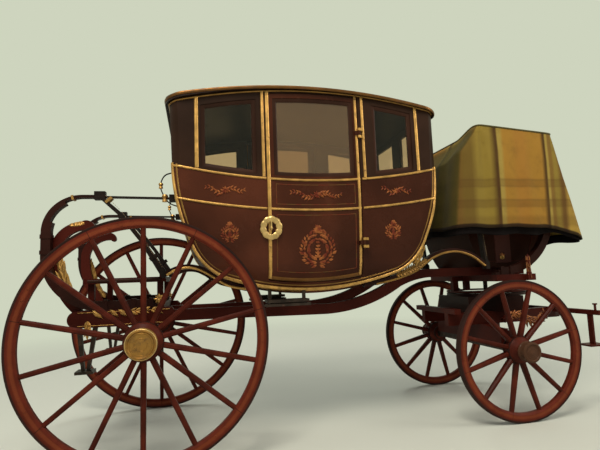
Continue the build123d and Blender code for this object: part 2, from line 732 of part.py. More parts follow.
with BuildPart() as check_straps:
    for s in (-1, 1):
        y = s * SPRING_Y
        add(outline(X, y, BED_TOP, [(-262, 842), (-262, 830), (140, 822), (140, 834)], 34))
        add(box(X + 140, X + 240, y - 24, y + 24, BED_TOP + 804, BED_TOP + 852) - grown)
keep(check_straps.part, "check_straps")

# Coachman's boot and seat. Heights are above the perches
BOOT_TOP = 355
SEAT_LOW = 1015
SEAT_THICK = 25
with BuildPart() as boot:
    with BuildSketch(side_plane(FX, 0, PERCH_TOP)):
        with BuildLine():
            Line((-60, 0), (380, 0))
            ThreePointArc((380, 0), (462, 160), (500, BOOT_TOP))
            Line((500, BOOT_TOP), (-190, BOOT_TOP))
            ThreePointArc((-190, BOOT_TOP), (-148, 160), (-60, 0))
        make_face()
    extrude(amount=360, both=True)
keep(boot.part, "boot")

with BuildPart() as box_seat:
    add(box(FX - 165, FX + 515, -440, 440, PERCH_TOP + SEAT_LOW, PERCH_TOP + SEAT_LOW + SEAT_THICK))
    for px in (-130, 400):
        for py in (-320, 320):
            z0, z1 = PERCH_TOP + BOOT_TOP, PERCH_TOP + SEAT_LOW
            add(box(FX + px - 25, FX + px + 25, py - 25, py + 25, z0, z1))
keep(box_seat.part, "box_seat")


def hammer_solid(inset, rear_hem, middle_hem, front_hem):
    """The cloth's outer shape drawn in by inset, down to the hem heights given."""
    with BuildPart() as solid:
        with BuildSketch(side_plane(FX, 0, PERCH_TOP)):
            with BuildLine():
                Polyline(
                    (-440, rear_hem), (-330, 905), (-260, 985), (-150, 1125), (560, 1065),
                    (725, front_hem), (340, middle_hem), close=True,
                )
            make_face()
            if inset:
                offset(amount=-inset, kind=Kind.INTERSECTION)
        extrude(amount=700, both=True)
        with BuildSketch(cross_plane(FX, PERCH_TOP)):
            with BuildLine():
                Polyline((-628, 75), (-606, 295), (-535, 1165), (535, 1165), (606, 295), (628, 75), close=True)
            make_face()
            if inset:
                offset(amount=-inset, kind=Kind.INTERSECTION)
        extrude(amount=1200, both=True, mode=Mode.INTERSECT)
    return solid.part


CLOTH_THICK = 22
seat_top = PERCH_TOP + SEAT_LOW + SEAT_THICK
cavity = hammer_solid(CLOTH_THICK, 125, 125, 125) & box(FX - 900, FX + 900, -800, 800, PERCH_TOP + 75, seat_top)
keep(hammer_solid(0, 295, 287, 185) - cavity, "hammercloth")

for part, label in pieces:
    export_step(part, "parts/" + label + ".step")
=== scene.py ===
"""A state coach of about 1820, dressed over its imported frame.

Lengths are in metres. +X is the front, +Y the left side, +Z up, and the floor is z = 0.
"""
import math

import bmesh
import bpy
import numpy as np
from bpy.props import FloatProperty, FloatVectorProperty, PointerProperty
from bpy.types import Operator, Panel, PropertyGroup
from mathutils import Matrix, Vector


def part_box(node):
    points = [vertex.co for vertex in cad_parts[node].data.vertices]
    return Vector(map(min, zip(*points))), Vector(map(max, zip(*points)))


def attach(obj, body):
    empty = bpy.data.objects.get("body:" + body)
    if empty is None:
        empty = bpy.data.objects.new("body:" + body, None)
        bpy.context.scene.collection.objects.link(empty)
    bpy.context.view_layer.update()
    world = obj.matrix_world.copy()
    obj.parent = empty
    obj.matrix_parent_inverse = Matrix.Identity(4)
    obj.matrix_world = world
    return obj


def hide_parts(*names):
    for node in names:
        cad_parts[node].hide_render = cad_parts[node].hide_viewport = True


bl_info = {
    "name": "State coach",
    "version": (1, 0, 0),
    "blender": (4, 5, 0),
    "location": "3D View > Sidebar > Coach",
    "description": "Mouldings, finishes, cloth and trim for a state coach",
    "category": "Object",
}

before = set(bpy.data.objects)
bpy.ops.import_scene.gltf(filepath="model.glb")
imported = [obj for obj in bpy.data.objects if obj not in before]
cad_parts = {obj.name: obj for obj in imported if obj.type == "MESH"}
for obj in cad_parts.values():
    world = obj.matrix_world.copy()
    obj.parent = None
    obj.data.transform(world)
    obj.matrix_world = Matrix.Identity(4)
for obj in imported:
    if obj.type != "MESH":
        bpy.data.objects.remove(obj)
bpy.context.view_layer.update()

SIDES = {-1: "right", 1: "left"}
BODY_X = -0.27
BODY_HALF = 0.964
HIND_AXLE = -1.375
FORE_AXLE = 1.245
SPRING_Y = 0.48
# name, axle's x, wheel's y, radius over the tyre, spokes, nave's radius, cap's radius
WHEELS = [
    ("rear_right", HIND_AXLE, -0.7375, 0.75, 14, 0.116, 0.084),
    ("rear_left", HIND_AXLE, 0.7375, 0.75, 14, 0.116, 0.084),
    ("front_right", FORE_AXLE, -0.635, 0.51, 12, 0.096, 0.066),
    ("front_left", FORE_AXLE, 0.635, 0.51, 12, 0.096, 0.066),
]
# where the door and the windows start and end along the body, from its middle
DOOR = (-0.305, 0.345)
WINDOWS = {"rear": (-0.755, -0.385), "door": (-0.268, 0.308), "front": (0.455, 0.755)}
# arcs along the side, each with its height at the body's ends and in its middle
BELT = (1.866, 1.757)
LOWER_BELT = (1.652, 1.553)
EAVES = (2.276, 2.405)
GLASS_TOP = (2.206, 2.343)
GLASS_LOW = (1.892, 1.783)
SILL = (1.342, 1.064)
# the roof's edge behind, in the middle and in front
ROOF_EDGE = ((-1.0, 2.314), (0.0, 2.417), (1.0, 2.284))


def shade(red, green, blue):
    """A colour written in 0 to 255, as Blender's linear colour."""
    parts = []
    for part in (red, green, blue):
        c = part / 255
        parts.append(c / 12.92 if c <= 0.04045 else ((c + 0.055) / 1.055) ** 2.4)
    return tuple(parts)


def toned(colour, factor, lift=0.0):
    """A lighter or darker tone of a colour, held to 1."""
    return tuple(min(1, c * factor + lift) for c in colour)


BACKGROUND = shade(206, 212, 190)


# Properties

def length_setting(label, words, default):
    """A length that a user would change."""
    return FloatProperty(name=label, description=words, default=default, unit="LENGTH")


def colour_setting(label, words, default):
    """A colour that a user would change, written in 0 to 255."""
    tone = shade(*default)
    return FloatVectorProperty(name=label, description=words, subtype="COLOR", default=tone, min=0, max=1)


class CoachSizes(PropertyGroup):
    """Sizes of the trim"""
    belt_width: length_setting("Belt moulding", "Width of the gilt belt mouldings", 0.017)
    band_width: length_setting(
        "Corner moulding", "Width of the carved band round the body's lower edge", 0.023,
    )
    pillar_bead: length_setting("Pillar bead", "Width of one gilt bead on the pillars", 0.020)
    relief: length_setting("Relief", "How far the belt mouldings stand proud", 0.008)
    sash_width: length_setting("Window sash", "Width of the window sashes", 0.03)
    ring_radius: length_setting(
        "Ring handle", "Radius of the door's ring handle to the middle of the ring", 0.054,
    )
    leaf_length: length_setting("Painted leaf", "Length of a leaf in the painted wreaths", 0.034)
    rivet: length_setting("Rivet", "Radius of the bolts in the felloes", 0.008)
    stitch: length_setting("Stitch", "Length of a stitch in the harness leather", 0.011)
    cloth_fold: length_setting("Cloth fold", "How far the hammercloth's folds move in and out", 0.014)
    cloth_thick: length_setting("Cloth thickness", "Thickness of the hammercloth", 0.004)


class CoachColours(PropertyGroup):
    """Colours of the finishes"""
    varnish: colour_setting("Body", "Coach paint of the body panels", (72, 36, 22))
    gilt: colour_setting("Gilding", "Gold leaf of the mouldings", (206, 158, 88))
    wheel: colour_setting("Wheels", "Brick red of the rims", (92, 34, 20))
    wheel_stripe: colour_setting("Wheel stripe", "Lighter stripe round the rims", (128, 64, 36))
    carriage: colour_setting("Carriage", "Wine red of the beams and perches", (66, 22, 14))
    steel: colour_setting("Springs", "Dark paint of the springs", (40, 18, 13))
    iron: colour_setting("Iron", "Bare dark iron", (50, 40, 34))
    brass: colour_setting("Brass", "Aged brass of the hub caps", (156, 114, 58))
    leather: colour_setting("Leather", "Black brown harness leather", (30, 20, 15))
    cloth: colour_setting("Hammercloth", "Ochre of the hammercloth", (152, 112, 44))
    cloth_stripe: colour_setting("Cloth stripe", "Brown of the hammercloth's stripes", (66, 44, 22))
    upholstery: colour_setting("Upholstery", "Cloth of the seats and lining", (120, 84, 52))
    floor: colour_setting("Floor", "Pale floor", (214, 218, 206))


# Shader kit

class Value:
    """A shader number. An expression on it adds Math nodes."""

    def __init__(self, finish, socket):
        self.finish = finish
        self.socket = socket

    def __add__(self, other):
        return self.finish.math("ADD", self, other)

    def __sub__(self, other):
        return self.finish.math("SUBTRACT", self, other)

    def __rsub__(self, other):
        return self.finish.math("SUBTRACT", other, self)

    def __mul__(self, other):
        return self.finish.math("MULTIPLY", self, other)

    def __truediv__(self, other):
        return self.finish.math("DIVIDE", self, other)

    def __rtruediv__(self, other):
        return self.finish.math("DIVIDE", other, self)

    __radd__ = __add__
    __rmul__ = __mul__

    def step(self, low, high):
        """0 below low, 1 above high, smooth between."""
        ends = {0: self, 1: low, 2: high, 3: 0, 4: 1}
        return self.finish.node("ShaderNodeMapRange", {"interpolation_type": "SMOOTHSTEP"}, ends)


class Finish:
    """A material built one node at a time."""

    def __init__(self, name, **constants):
        self.material = bpy.data.materials.new(name)
        self.material.use_nodes = True
        self.tree = self.material.node_tree
        self.tree.nodes.clear()
        self.shader = self.tree.nodes.new("ShaderNodeBsdfPrincipled")
        self.end = self.tree.nodes.new("ShaderNodeOutputMaterial")
        self.tree.links.new(self.shader.outputs[0], self.end.inputs[0])
        for key, value in constants.items():
            self.shader.inputs[key.replace("_", " ")].default_value = value
        self.place = self.tree.nodes.new("ShaderNodeTexCoord").outputs["Object"]

    def fill(self, node, sockets):
        """Sets a node's sockets: values are written in, and sockets are linked."""
        for key, value in sockets.items():
            socket = node.inputs[key]
            if isinstance(value, Value):
                value = value.socket
            if isinstance(value, bpy.types.NodeSocket):
                self.tree.links.new(value, socket)
            elif socket.type == "RGBA" and len(value) == 3:
                socket.default_value = (*value, 1)
            else:
                socket.default_value = value

    def node(self, kind, settings=None, sockets=None, out=0):
        """Adds a node: its settings first, then its sockets. Returns one of its outputs."""
        node = self.tree.nodes.new(kind)
        for key, value in (settings or {}).items():
            if key == "stops":
                elements = node.color_ramp.elements
                for number, (at, tone) in enumerate(value):
                    stop = elements[number] if number < 2 else elements.new(at)
                    stop.position, stop.color = at, tone
            else:
                setattr(node, key, value)
        self.fill(node, sockets or {})
        return Value(self, node.outputs[out])

    def math(self, operation, a, b=0.0):
        """Adds a Math node on one or two values."""
        return self.node("ShaderNodeMath", {"operation": operation}, {0: a, 1: b})

    def mix(self, factor, a, b):
        """Colour a where factor is 0, b where it is 1."""
        return self.node("ShaderNodeMix", {"data_type": "RGBA"}, {0: factor, 6: a, 7: b}, out=2)

    def noise(self, scale, detail=3.0, rough=0.5):
        """Cloudy variation from 0 to 1 over the piece, finer as scale grows."""
        sockets = {"Vector": self.place, "Scale": scale, "Detail": detail, "Roughness": rough}
        return self.node("ShaderNodeTexNoise", {}, sockets)

    def place_from(self, centre):
        """The piece's own coordinates, counted from centre."""
        return self.node("ShaderNodeVectorMath", {"operation": "SUBTRACT"}, {0: self.place, 1: centre})

    def split(self, vector):
        """A vector's x, y and z."""
        node = self.tree.nodes.new("ShaderNodeSeparateXYZ")
        self.fill(node, {0: vector})
        return [Value(self, out) for out in node.outputs]

    def bump(self, height, strength, distance):
        """A normal that raises the surface by height."""
        return self.node("ShaderNodeBump", {}, {"Strength": strength, "Distance": distance, "Height": height})

    def set(self, **sockets):
        """Sets the surface's sockets and returns the finished material."""
        self.fill(self.shader, {key.replace("_", " "): value for key, value in sockets.items()})
        return self.material


def varnished(name, colour, gloss=0.2, warmth=1.35, coat=0.08, darker=0.0, side=0.0):
    """Deep coach paint under varnish: slow changes of tone, fine dust and polishing marks.

    darker: how strongly the tone is darkened towards the coach's front, a painted reflection of a dark
    surround.
    side: how far out the polished sides lie; inside that the varnish has gone dull.
    """
    f = Finish(name, Coat_Weight=coat, Coat_Roughness=0.1, Specular_IOR_Level=0.05 + coat * 0.5)
    slow = f.noise(2.2, 3)
    fine = f.noise(60, 4, 0.6)
    dust = f.noise(9, 5, 0.7).step(0.52, 0.8)
    deep = toned(colour, 0.72)
    light = toned(colour, warmth)
    tone = f.mix(slow.step(0.3, 0.72), deep, light)
    tone = f.mix(dust * 0.2, tone, toned(colour, 1.9, 0.008))
    rough = gloss + slow * 0.08 + dust * 0.12 + fine * 0.05
    x, y, _ = f.split(f.place)
    # painted reflection: the tone darkens towards the front as if a dark surround were mirrored in the
    # varnish
    if darker:
        tone = f.mix(x.step(-0.22, -0.05) * darker, tone, toned(colour, 0.25))
    if side:
        rough = rough + (1 - f.math("ABSOLUTE", y).step(side - 0.05, side)) * 0.5
    return f.set(Base_Color=tone, Roughness=rough, Normal=f.bump(fine, 0.08, 0.002))


def gilded(name, colour, wear=0.62, grime=0.55):
    """Old gold leaf: bright where it is rubbed, red brown where the leaf has gone."""
    f = Finish(name)
    tone = f.noise(14, 3)
    grain = f.noise(120, 3, 0.6)
    lost = f.noise(38, 5, 0.65).step(wear, wear + 0.1)
    dirt = f.noise(22, 4, 0.6).step(0.45, 0.75)
    gold = f.mix(tone.step(0.3, 0.7), toned(colour, 0.72), toned(colour, 1.12))
    gold = f.mix(dirt * grime, gold, toned(colour, 0.32))
    gold = f.mix(lost, gold, shade(92, 44, 26))
    return f.set(
        Base_Color=gold,
        Metallic=0.8 - lost * 0.75 - dirt * (grime * 0.45),
        Roughness=0.3 + tone * 0.14 + lost * 0.3 + dirt * 0.12,
        Normal=f.bump(grain + dirt * 0.6, 0.22, 0.002),
    )


def worn_iron(name, colour):
    """Old iron, rubbed bright in places and rusty in others."""
    f = Finish(name)
    cloud = f.noise(18, 4, 0.6)
    pits = f.noise(160, 4, 0.7)
    rust = f.noise(30, 5, 0.65).step(0.55, 0.7)
    tone = f.mix(cloud.step(0.3, 0.7), toned(colour, 0.6), toned(colour, 1.5))
    tone = f.mix(rust * 0.6, tone, shade(92, 54, 34))
    return f.set(
        Base_Color=tone, Metallic=0.75 - rust * 0.6, Roughness=0.42 + rust * 0.3 + pits * 0.12,
        Normal=f.bump(pits, 0.25, 0.002),
    )


def brushed_brass(name, colour, centre):
    """Aged brass, turned about the hub's axis, with brown tarnish in the hollows."""
    f = Finish(name)
    x, _, z = f.split(f.place_from(centre))
    radius = f.math("SQRT", x * x + z * z)
    rings = f.math("SINE", radius * 2600) * 0.5 + 0.5
    tarnish = f.noise(26, 5, 0.65).step(0.42, 0.7)
    tone = f.mix(tarnish * 0.75, colour, toned(colour, 0.3))
    return f.set(
        Base_Color=tone, Metallic=0.95 - tarnish * 0.35, Roughness=0.34 + tarnish * 0.25,
        Normal=f.bump(rings * 0.3 + tarnish, 0.2, 0.001),
    )


def wheel_paint(name, colours, centre, radius, spokes):
    """Brick red rims with a lighter stripe, dark edges and joints between the felloes; thin red spokes."""
    f = Finish(name, Coat_Weight=0.02, Coat_Roughness=0.2, Specular_IOR_Level=0.08)
    x, _, z = f.split(f.place_from(centre))
    out = f.math("SQRT", x * x + z * z)
    angle = f.math("ARCTAN2", z, x)
    rim_in = radius - 0.0693
    rim_out = radius - 0.0143
    on_rim = out.step(rim_in - 0.004, rim_in + 0.002)
    stripe = out.step(rim_in + 0.012, rim_in + 0.024) - out.step(rim_out - 0.022, rim_out - 0.010)
    # two spokes to a felloe; the whole turns keep it above 0 and the quarter sets the joints between spokes
    turn = angle * (spokes / (4 * math.pi)) + 64.25
    near = f.math("ABSOLUTE", f.math("FRACT", turn) - 0.5)
    joint = 1 - near.step(0.0015, 0.0045)
    cloud = f.noise(7, 4, 0.6)
    chips = f.noise(44, 5, 0.7).step(0.62, 0.7)
    grain = f.noise(70, 4, 0.6)
    red = f.mix(cloud.step(0.3, 0.7), toned(colours.wheel, 0.72), toned(colours.wheel, 1.2))
    spoke = f.mix(cloud.step(0.35, 0.7), toned(colours.wheel, 0.42), toned(colours.wheel, 0.85))
    tone = f.mix(on_rim, spoke, red)
    tone = f.mix(stripe * (0.25 + cloud * 0.5), tone, tuple(colours.wheel_stripe))
    tone = f.mix(out.step(rim_out - 0.008, rim_out + 0.004) * 0.6, tone, shade(48, 22, 18))
    tone = f.mix(joint * on_rim * 0.8, tone, shade(34, 16, 12))
    tone = f.mix(chips * 0.35, tone, shade(46, 24, 18))
    return f.set(
        Base_Color=tone,
        Roughness=0.42 + cloud * 0.16 + chips * 0.2,
        Normal=f.bump(grain * 0.3 + chips * -0.6 + joint * on_rim * -1.0, 0.3, 0.002),
    )


def old_leather(name, colour, grain_size=230.0, gloss=0.42):
    """Harness leather: pebbled grain, creases and a dull polish."""
    f = Finish(name, Specular_IOR_Level=0.12)
    pebble = f.node(
        "ShaderNodeTexVoronoi", {"feature": "DISTANCE_TO_EDGE"}, {"Vector": f.place, "Scale": grain_size},
    )
    crease = f.noise(34, 5, 0.65)
    worn = f.noise(12, 4, 0.6).step(0.5, 0.75)
    tone = f.mix(crease.step(0.35, 0.7), toned(colour, 0.55), toned(colour, 1.25))
    tone = f.mix(worn * 0.35, tone, toned(colour, 2.2, 0.01))
    return f.set(
        Base_Color=tone, Roughness=gloss + worn * 0.15 + crease * 0.1,
        Normal=f.bump(pebble * 3 + crease, 0.25, 0.001),
    )


def plate_glass(name, clean, filmed, clear=1.0):
    """Thin old plate glass with a little waviness and a brown film."""
    f = Finish(name, IOR=1.3, Transmission_Weight=clear, Specular_IOR_Level=0.4)
    wave = f.noise(5, 2)
    film = f.noise(16, 4, 0.6).step(0.5, 0.8)
    tone = f.mix(film * 0.3, clean, filmed)
    return f.set(Base_Color=tone, Roughness=0.005 + film * 0.03, Normal=f.bump(wave, 0.06, 0.004))


def woven(name, colour, thread=0.0016, worn=0.3, sheen=0.3):
    """Woven upholstery with a fine rib and faded patches."""
    f = Finish(name, Sheen_Weight=sheen, Sheen_Roughness=0.5, Specular_IOR_Level=0.1)
    x, y, z = f.split(f.place)
    rib = f.math("SINE", (x + z) * (6.2832 / thread)) * 0.5 + 0.5
    weft = f.math("SINE", y * (6.2832 / thread)) * 0.5 + 0.5
    fade = f.noise(5, 4, 0.6).step(0.35, 0.75)
    tone = f.mix(rib * weft, toned(colour, 0.7), tuple(colour))
    tone = f.mix(fade * worn, tone, toned(colour, 1.5))
    return f.set(Base_Color=tone, Roughness=0.85 + fade * 0.1, Normal=f.bump(rib + weft, 0.3, 0.0008))


def painted_leaf(name, colour):
    """Gold and red brown brushwork of the painted ornament."""
    f = Finish(name, Specular_IOR_Level=0.1)
    fade = f.noise(22, 4, 0.6).step(0.38, 0.62)
    tone = f.mix(fade, shade(104, 44, 28), colour)
    return f.set(Base_Color=tone, Roughness=0.42 + fade * 0.2)


def hammer_weave(name, colours):
    """Heavy ribbed cloth: broad ochre, olive and brown stripes, faint bands across them, darker near the hem,
    and painted shade darkening its rear face.
    """
    f = Finish(name, Sheen_Weight=0.03, Sheen_Roughness=0.5, Specular_IOR_Level=0.05)
    uv = f.node("ShaderNodeUVMap", {"uv_map": "cloth"})
    along, height, _ = f.split(uv)
    rise = f.node("ShaderNodeAttribute", {"attribute_name": "rise"}, out=2)
    ochre, dark = tuple(colours.cloth), tuple(colours.cloth_stripe)
    khaki, straw = shade(132, 112, 48), shade(154, 132, 64)
    # each stripe's start and end along the coach, and its tone
    stripes = (
        (0.80, 0.90, shade(104, 78, 36)),
        (0.935, 1.0, shade(100, 80, 34)),
        (1.05, 1.165, khaki),
        (1.212, 1.228, dark),
        (1.238, 1.262, straw),
        (1.29, 1.36, ochre),
        (1.41, 1.47, shade(152, 108, 45)),
        (1.53, 1.63, ochre),
        (1.656, 1.668, dark),
        (1.676, 1.688, straw),
        (1.70, 1.72, shade(118, 90, 42)),
        (1.735, 1.757, khaki),
        (1.79, 1.808, shade(98, 70, 34)),
        (1.84, 2.0, shade(160, 130, 58)),
        (2.03, 2.1, dark),
    )
    low, reach = 0.78, 1.34
    stops = []
    for start, end, tone in stripes:
        stops += [((start - low) / reach, (*tone, 1)), ((end - low) / reach, (*tone, 1))]
    base = f.node("ShaderNodeValToRGB", {"stops": stops}, {0: (along - low) / reach})
    # each band's height, half width and strength
    across = (
        (1.790, 0.010, 0.42),
        (1.766, 0.036, 0.32),
        (1.741, 0.008, 0.4),
        (1.628, 0.010, 0.42),
        (1.604, 0.034, 0.34),
        (1.581, 0.008, 0.36),
        (1.46, 0.045, 0.3),
    )
    bands = 0.0
    for at, half, strength in across:
        line = (1 - f.math("ABSOLUTE", height - at).step(half * 0.5, half * 1.4)) * strength
        bands = f.math("MAXIMUM", bands, line)
    rib = f.math("SINE", along * 1800) * 0.5 + 0.5
    weft = f.math("SINE", height * 2600) * 0.5 + 0.5
    cloud = f.noise(4, 4, 0.6)
    soil = f.noise(9, 5, 0.65).step(0.45, 0.8)
    sheltered = f.node("ShaderNodeAttribute", {"attribute_name": "sheltered"}, out=2)
    tone = f.mix(bands, base, shade(74, 48, 26))
    # painted shade: the cloth's rear face is darkened towards a dark olive
    tone = f.mix(sheltered * 0.85, tone, shade(54, 54, 22))
    tone = f.mix(soil * 0.35, tone, shade(92, 70, 34))
    tone = f.mix(rib * weft * cloud * 0.25, tone, shade(196, 164, 96))
    # darker within about 3 cm above the lower edge
    tone = f.mix((1 - rise.step(0.022, 0.036)) * 0.92, tone, shade(34, 24, 20))
    return f.set(Base_Color=tone, Roughness=0.86 + cloud * 0.1, Normal=f.bump(rib + weft, 0.35, 0.0008))


FINISHES = {}


def finishes():
    """Makes each finish once and gives them by name."""
    if FINISHES:
        return FINISHES
    c = bpy.context.scene.coach_colours
    FINISHES.update(
        # the body's paint carries a painted reflection that darkens it towards the front
        varnish=varnished("body_varnish", tuple(c.varnish), coat=0.06, darker=0.5, side=0.62),
        upper=varnished("upper_varnish", shade(46, 29, 20), 0.34, coat=0.03),
        boot=varnished("boot_varnish", toned(c.varnish, 0.4), 0.42, coat=0.0),
        panel=varnished("boot_panel", shade(76, 44, 38), 0.4, coat=0.0),
        carriage=varnished("carriage_red", tuple(c.carriage), 0.4, coat=0.02),
        springs=varnished("spring_paint", tuple(c.steel), 0.36, coat=0.03),
        sash=varnished("sash_wood", shade(54, 33, 24), 0.25, coat=0.03),
        tyre=varnished("tyre_brown", shade(44, 28, 24), 0.55, coat=0.0),
        gilt=gilded("gold_leaf", tuple(c.gilt)),
        gilt_old=gilded("old_gold_leaf", toned(c.gilt, 0.72), 0.6, 0.4),
        gilt_dull=gilded("dull_gold", shade(150, 110, 56), 0.72, 0.25),
        gilt_brown=gilded("brown_gold", shade(112, 74, 34), 0.6, 0.4),
        line=painted_leaf("panel_line", shade(96, 70, 36)),
        gilt_pale=gilded("pale_gold", shade(206, 172, 112), 0.74, 0.3),
        gilt_red=gilded("red_gold", shade(168, 104, 60), 0.5, 0.4),
        iron=worn_iron("dark_iron", tuple(c.iron)),
        leather=old_leather("harness_leather", tuple(c.leather)),
        roof=old_leather("roof_leather", shade(40, 26, 20), 150, 0.3),
        glass=plate_glass("plate_glass", (0.78, 0.64, 0.48), (0.64, 0.50, 0.36)),
        door_glass=plate_glass("door_plate_glass", (0.60, 0.43, 0.27), (0.52, 0.37, 0.24), 0.88),
        upholstery=woven("seat_cloth", tuple(c.upholstery)),
        lining=woven("cabin_lining", toned(c.upholstery, 0.45)),
        leaf=painted_leaf("painted_leaf", shade(152, 90, 48)),
        lining_dark=woven("cloth_lining", shade(22, 16, 16), 0.002, sheen=0.0),
        welt=woven("cloth_welt", shade(88, 80, 34), 0.003),
        thread=woven("waxed_thread", shade(150, 120, 80), 0.0008),
        cloth=hammer_weave("hammer_weave", c),
    )
    for name, x, _, radius, spokes, *_ in WHEELS:
        end = name.split("_")[0]
        if "wheel_" + end not in FINISHES:
            centre = (x, 0, radius)
            FINISHES["wheel_" + end] = wheel_paint("wheel_paint_" + end, c, centre, radius, spokes)
            if end == "rear":
                FINISHES["cap_" + end] = brushed_brass("hub_brass", tuple(c.brass), centre)
            else:
                FINISHES["cap_" + end] = varnished("hub_paint", shade(70, 46, 32), 0.4, coat=0.03)
    return FINISHES


# Shape kit

class Shell:
    """Gathers closed shapes into the mesh of one piece."""

    def __init__(self):
        self.points = []
        self.faces = []
        self.count = 0

    def add(self, points, faces):
        self.points.append(np.asarray(points, float))
        self.faces += [[i + self.count for i in face] for face in faces]
        self.count += len(points)

    def loft(self, rings, closed=False):
        """Joins rings of equal length into a skin, with its ends capped unless it is closed."""
        rings = [np.asarray(r, float) for r in rings]
        size = len(rings[0])
        faces = []
        last = len(rings) if closed else len(rings) - 1
        for i in range(last):
            a, b = i * size, ((i + 1) % len(rings)) * size
            for k in range(size):
                n = (k + 1) % size
                faces.append([a + k, a + n, b + n, b + k])
        if not closed:
            faces.append(list(range(size))[::-1])
            faces.append([(len(rings) - 1) * size + k for k in range(size)])
        self.add(np.concatenate(rings), faces)

    def sweep(self, points, normals, section, closed=False, taper=None):
        """Draws a section, in (across, outward) pairs, along a path."""
        points = np.asarray(points, float)
        normals = np.asarray(normals, float)
        if closed:
            ahead = np.roll(points, -1, 0) - np.roll(points, 1, 0)
        else:
            ahead = np.gradient(points, axis=0)
        ahead /= np.linalg.norm(ahead, axis=1)[:, None]
        across = np.cross(ahead, normals)
        across /= np.linalg.norm(across, axis=1)[:, None]
        up = np.cross(across, ahead)
        rings = []
        for i in range(len(points)):
            k = 1 if taper is None else taper[i]
            rings.append([points[i] + across[i] * a * k + up[i] * b * k for a, b in section])
        self.loft(rings, closed)

    def turned(self, profile, centre, steps=40, axis="y"):
        """Turns an (axial, radius) outline about an axis through the centre, along y or z."""
        centre = np.asarray(centre, float)
        rings = []
        for k in range(steps):
            t = 2 * math.pi * k / steps
            ring = []
            for along, radius in profile:
                a, b = radius * math.cos(t), radius * math.sin(t)
                ring.append(centre + ((a, along, b) if axis == "y" else (a, b, along)))
            rings.append(ring)
        self.loft(rings, True)

    def block(self, low, high):
        """A box between two corners."""
        (x0, y0, z0), (x1, y1, z1) = low, high
        self.loft([[(x0, y0, z), (x1, y0, z), (x1, y1, z), (x0, y1, z)] for z in (z0, z1)])

    def mesh(self, name):
        """The shapes as one mesh, with its normals turned outward."""
        mesh = bpy.data.meshes.new(name)
        mesh.from_pydata(np.concatenate(self.points).tolist(), [], self.faces)
        bm = bmesh.new()
        bm.from_mesh(mesh)
        bmesh.ops.remove_doubles(bm, verts=bm.verts, dist=1e-6)
        bmesh.ops.recalc_face_normals(bm, faces=bm.faces)
        bm.to_mesh(mesh)
        bm.free()
        return mesh

    def object(self, name, body, slot, material, sharp=0.6):
        """Makes the piece and sets it on its body."""
        mesh = self.mesh(name)
        mesh.materials.append(material)
        return settle(bpy.data.objects.new(name, mesh), body, sharp)


def settle(piece, body, sharp=0.6):
    """Links a finished piece, smooths it and sets it on its body."""
    if piece.name not in bpy.context.scene.collection.objects:
        bpy.context.scene.collection.objects.link(piece)
    mesh = piece.data
    mesh.polygons.foreach_set("use_smooth", [True] * len(mesh.polygons))
    mesh.set_sharp_from_angle(angle=sharp)
    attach(piece, body)
    return piece


def smooth_through(t, values, at):
    """A smooth curve through the values at t, read at other places."""
    t, values = np.asarray(t, float), np.asarray(values, float)
    slopes = np.gradient(values, t)
    k = np.clip(np.searchsorted(t, at, side="right") - 1, 0, len(t) - 2)
    span = t[k + 1] - t[k]
    u = (at - t[k]) / span
    return (
        (2 * u ** 3 - 3 * u ** 2 + 1) * values[k] + (u ** 3 - 2 * u ** 2 + u) * span * slopes[k]
        + (3 * u ** 2 - 2 * u ** 3) * values[k + 1] + (u ** 3 - u ** 2) * span * slopes[k + 1]
    )


def smooth_path(knots, steps):
    """Places at even distances along a smooth curve through flat (x, z) knots."""
    x, z = np.array(knots).T
    t = np.concatenate(([0], np.cumsum(np.hypot(np.diff(x), np.diff(z)))))
    fine = np.linspace(0, t[-1], steps)
    return np.stack((smooth_through(t, x, fine), smooth_through(t, z, fine)), 1)


def half_round(width, height, sunk=0.003, steps=6):
    """The section of a plain moulding."""
    arc = [(width / 2 * math.cos(t), height * math.sin(t)) for t in np.linspace(0, math.pi, steps + 1)]
    return [(width / 2, -sunk)] + arc + [(-width / 2, -sunk)]


def oval(half_width, half_height, steps):
    """An oval section."""
    turns = np.linspace(0, 2 * math.pi, steps, endpoint=False)
    return [(half_width * math.cos(t), half_height * math.sin(t)) for t in turns]


def rounded_loop(reach_x, reach_y, corner, steps):
    """A rectangle with round corners about the origin, as (x, y, turn); reach is to the corners' centres."""
    loop = []
    for sx, sy, start in ((1, 1, 0), (-1, 1, 90), (-1, -1, 180), (1, -1, 270)):
        for t in np.radians(np.linspace(start, start + 90, steps)):
            loop.append((sx * reach_x + corner * math.cos(t), sy * reach_y + corner * math.sin(t), t))
    return loop


def simple_shape(kind):
    """One small shape to be copied: leaf, bolt or stitch, about a unit long."""
    rows = []
    if kind == "leaf":
        for t, w in ((0, 0.04), (0.2, 0.34), (0.45, 0.46), (0.72, 0.3), (1, 0.02)):
            rise = 0.16 * math.sin(math.pi * t)
            edge = 0.02 + rise * 0.3
            rows.append([(t, -w / 2, edge), (t, 0, 0.06 + rise), (t, w / 2, edge), (t, 0, -0.04)])
    elif kind == "bolt":
        for radius, z in ((1, -0.3), (1, 0.35), (0.8, 0.6)):
            rows.append([(x, y, z) for x, y in oval(radius, radius, 6)])
    else:
        for t, w in ((-0.5, 0.05), (-0.3, 0.13), (0.3, 0.13), (0.5, 0.05)):
            rows.append([(t, y, z) for y, z in oval(w, w, 6)])
    shell = Shell()
    shell.loft(rows)
    return bpy.data.objects.new("shape_" + kind, shell.mesh("shape_" + kind))


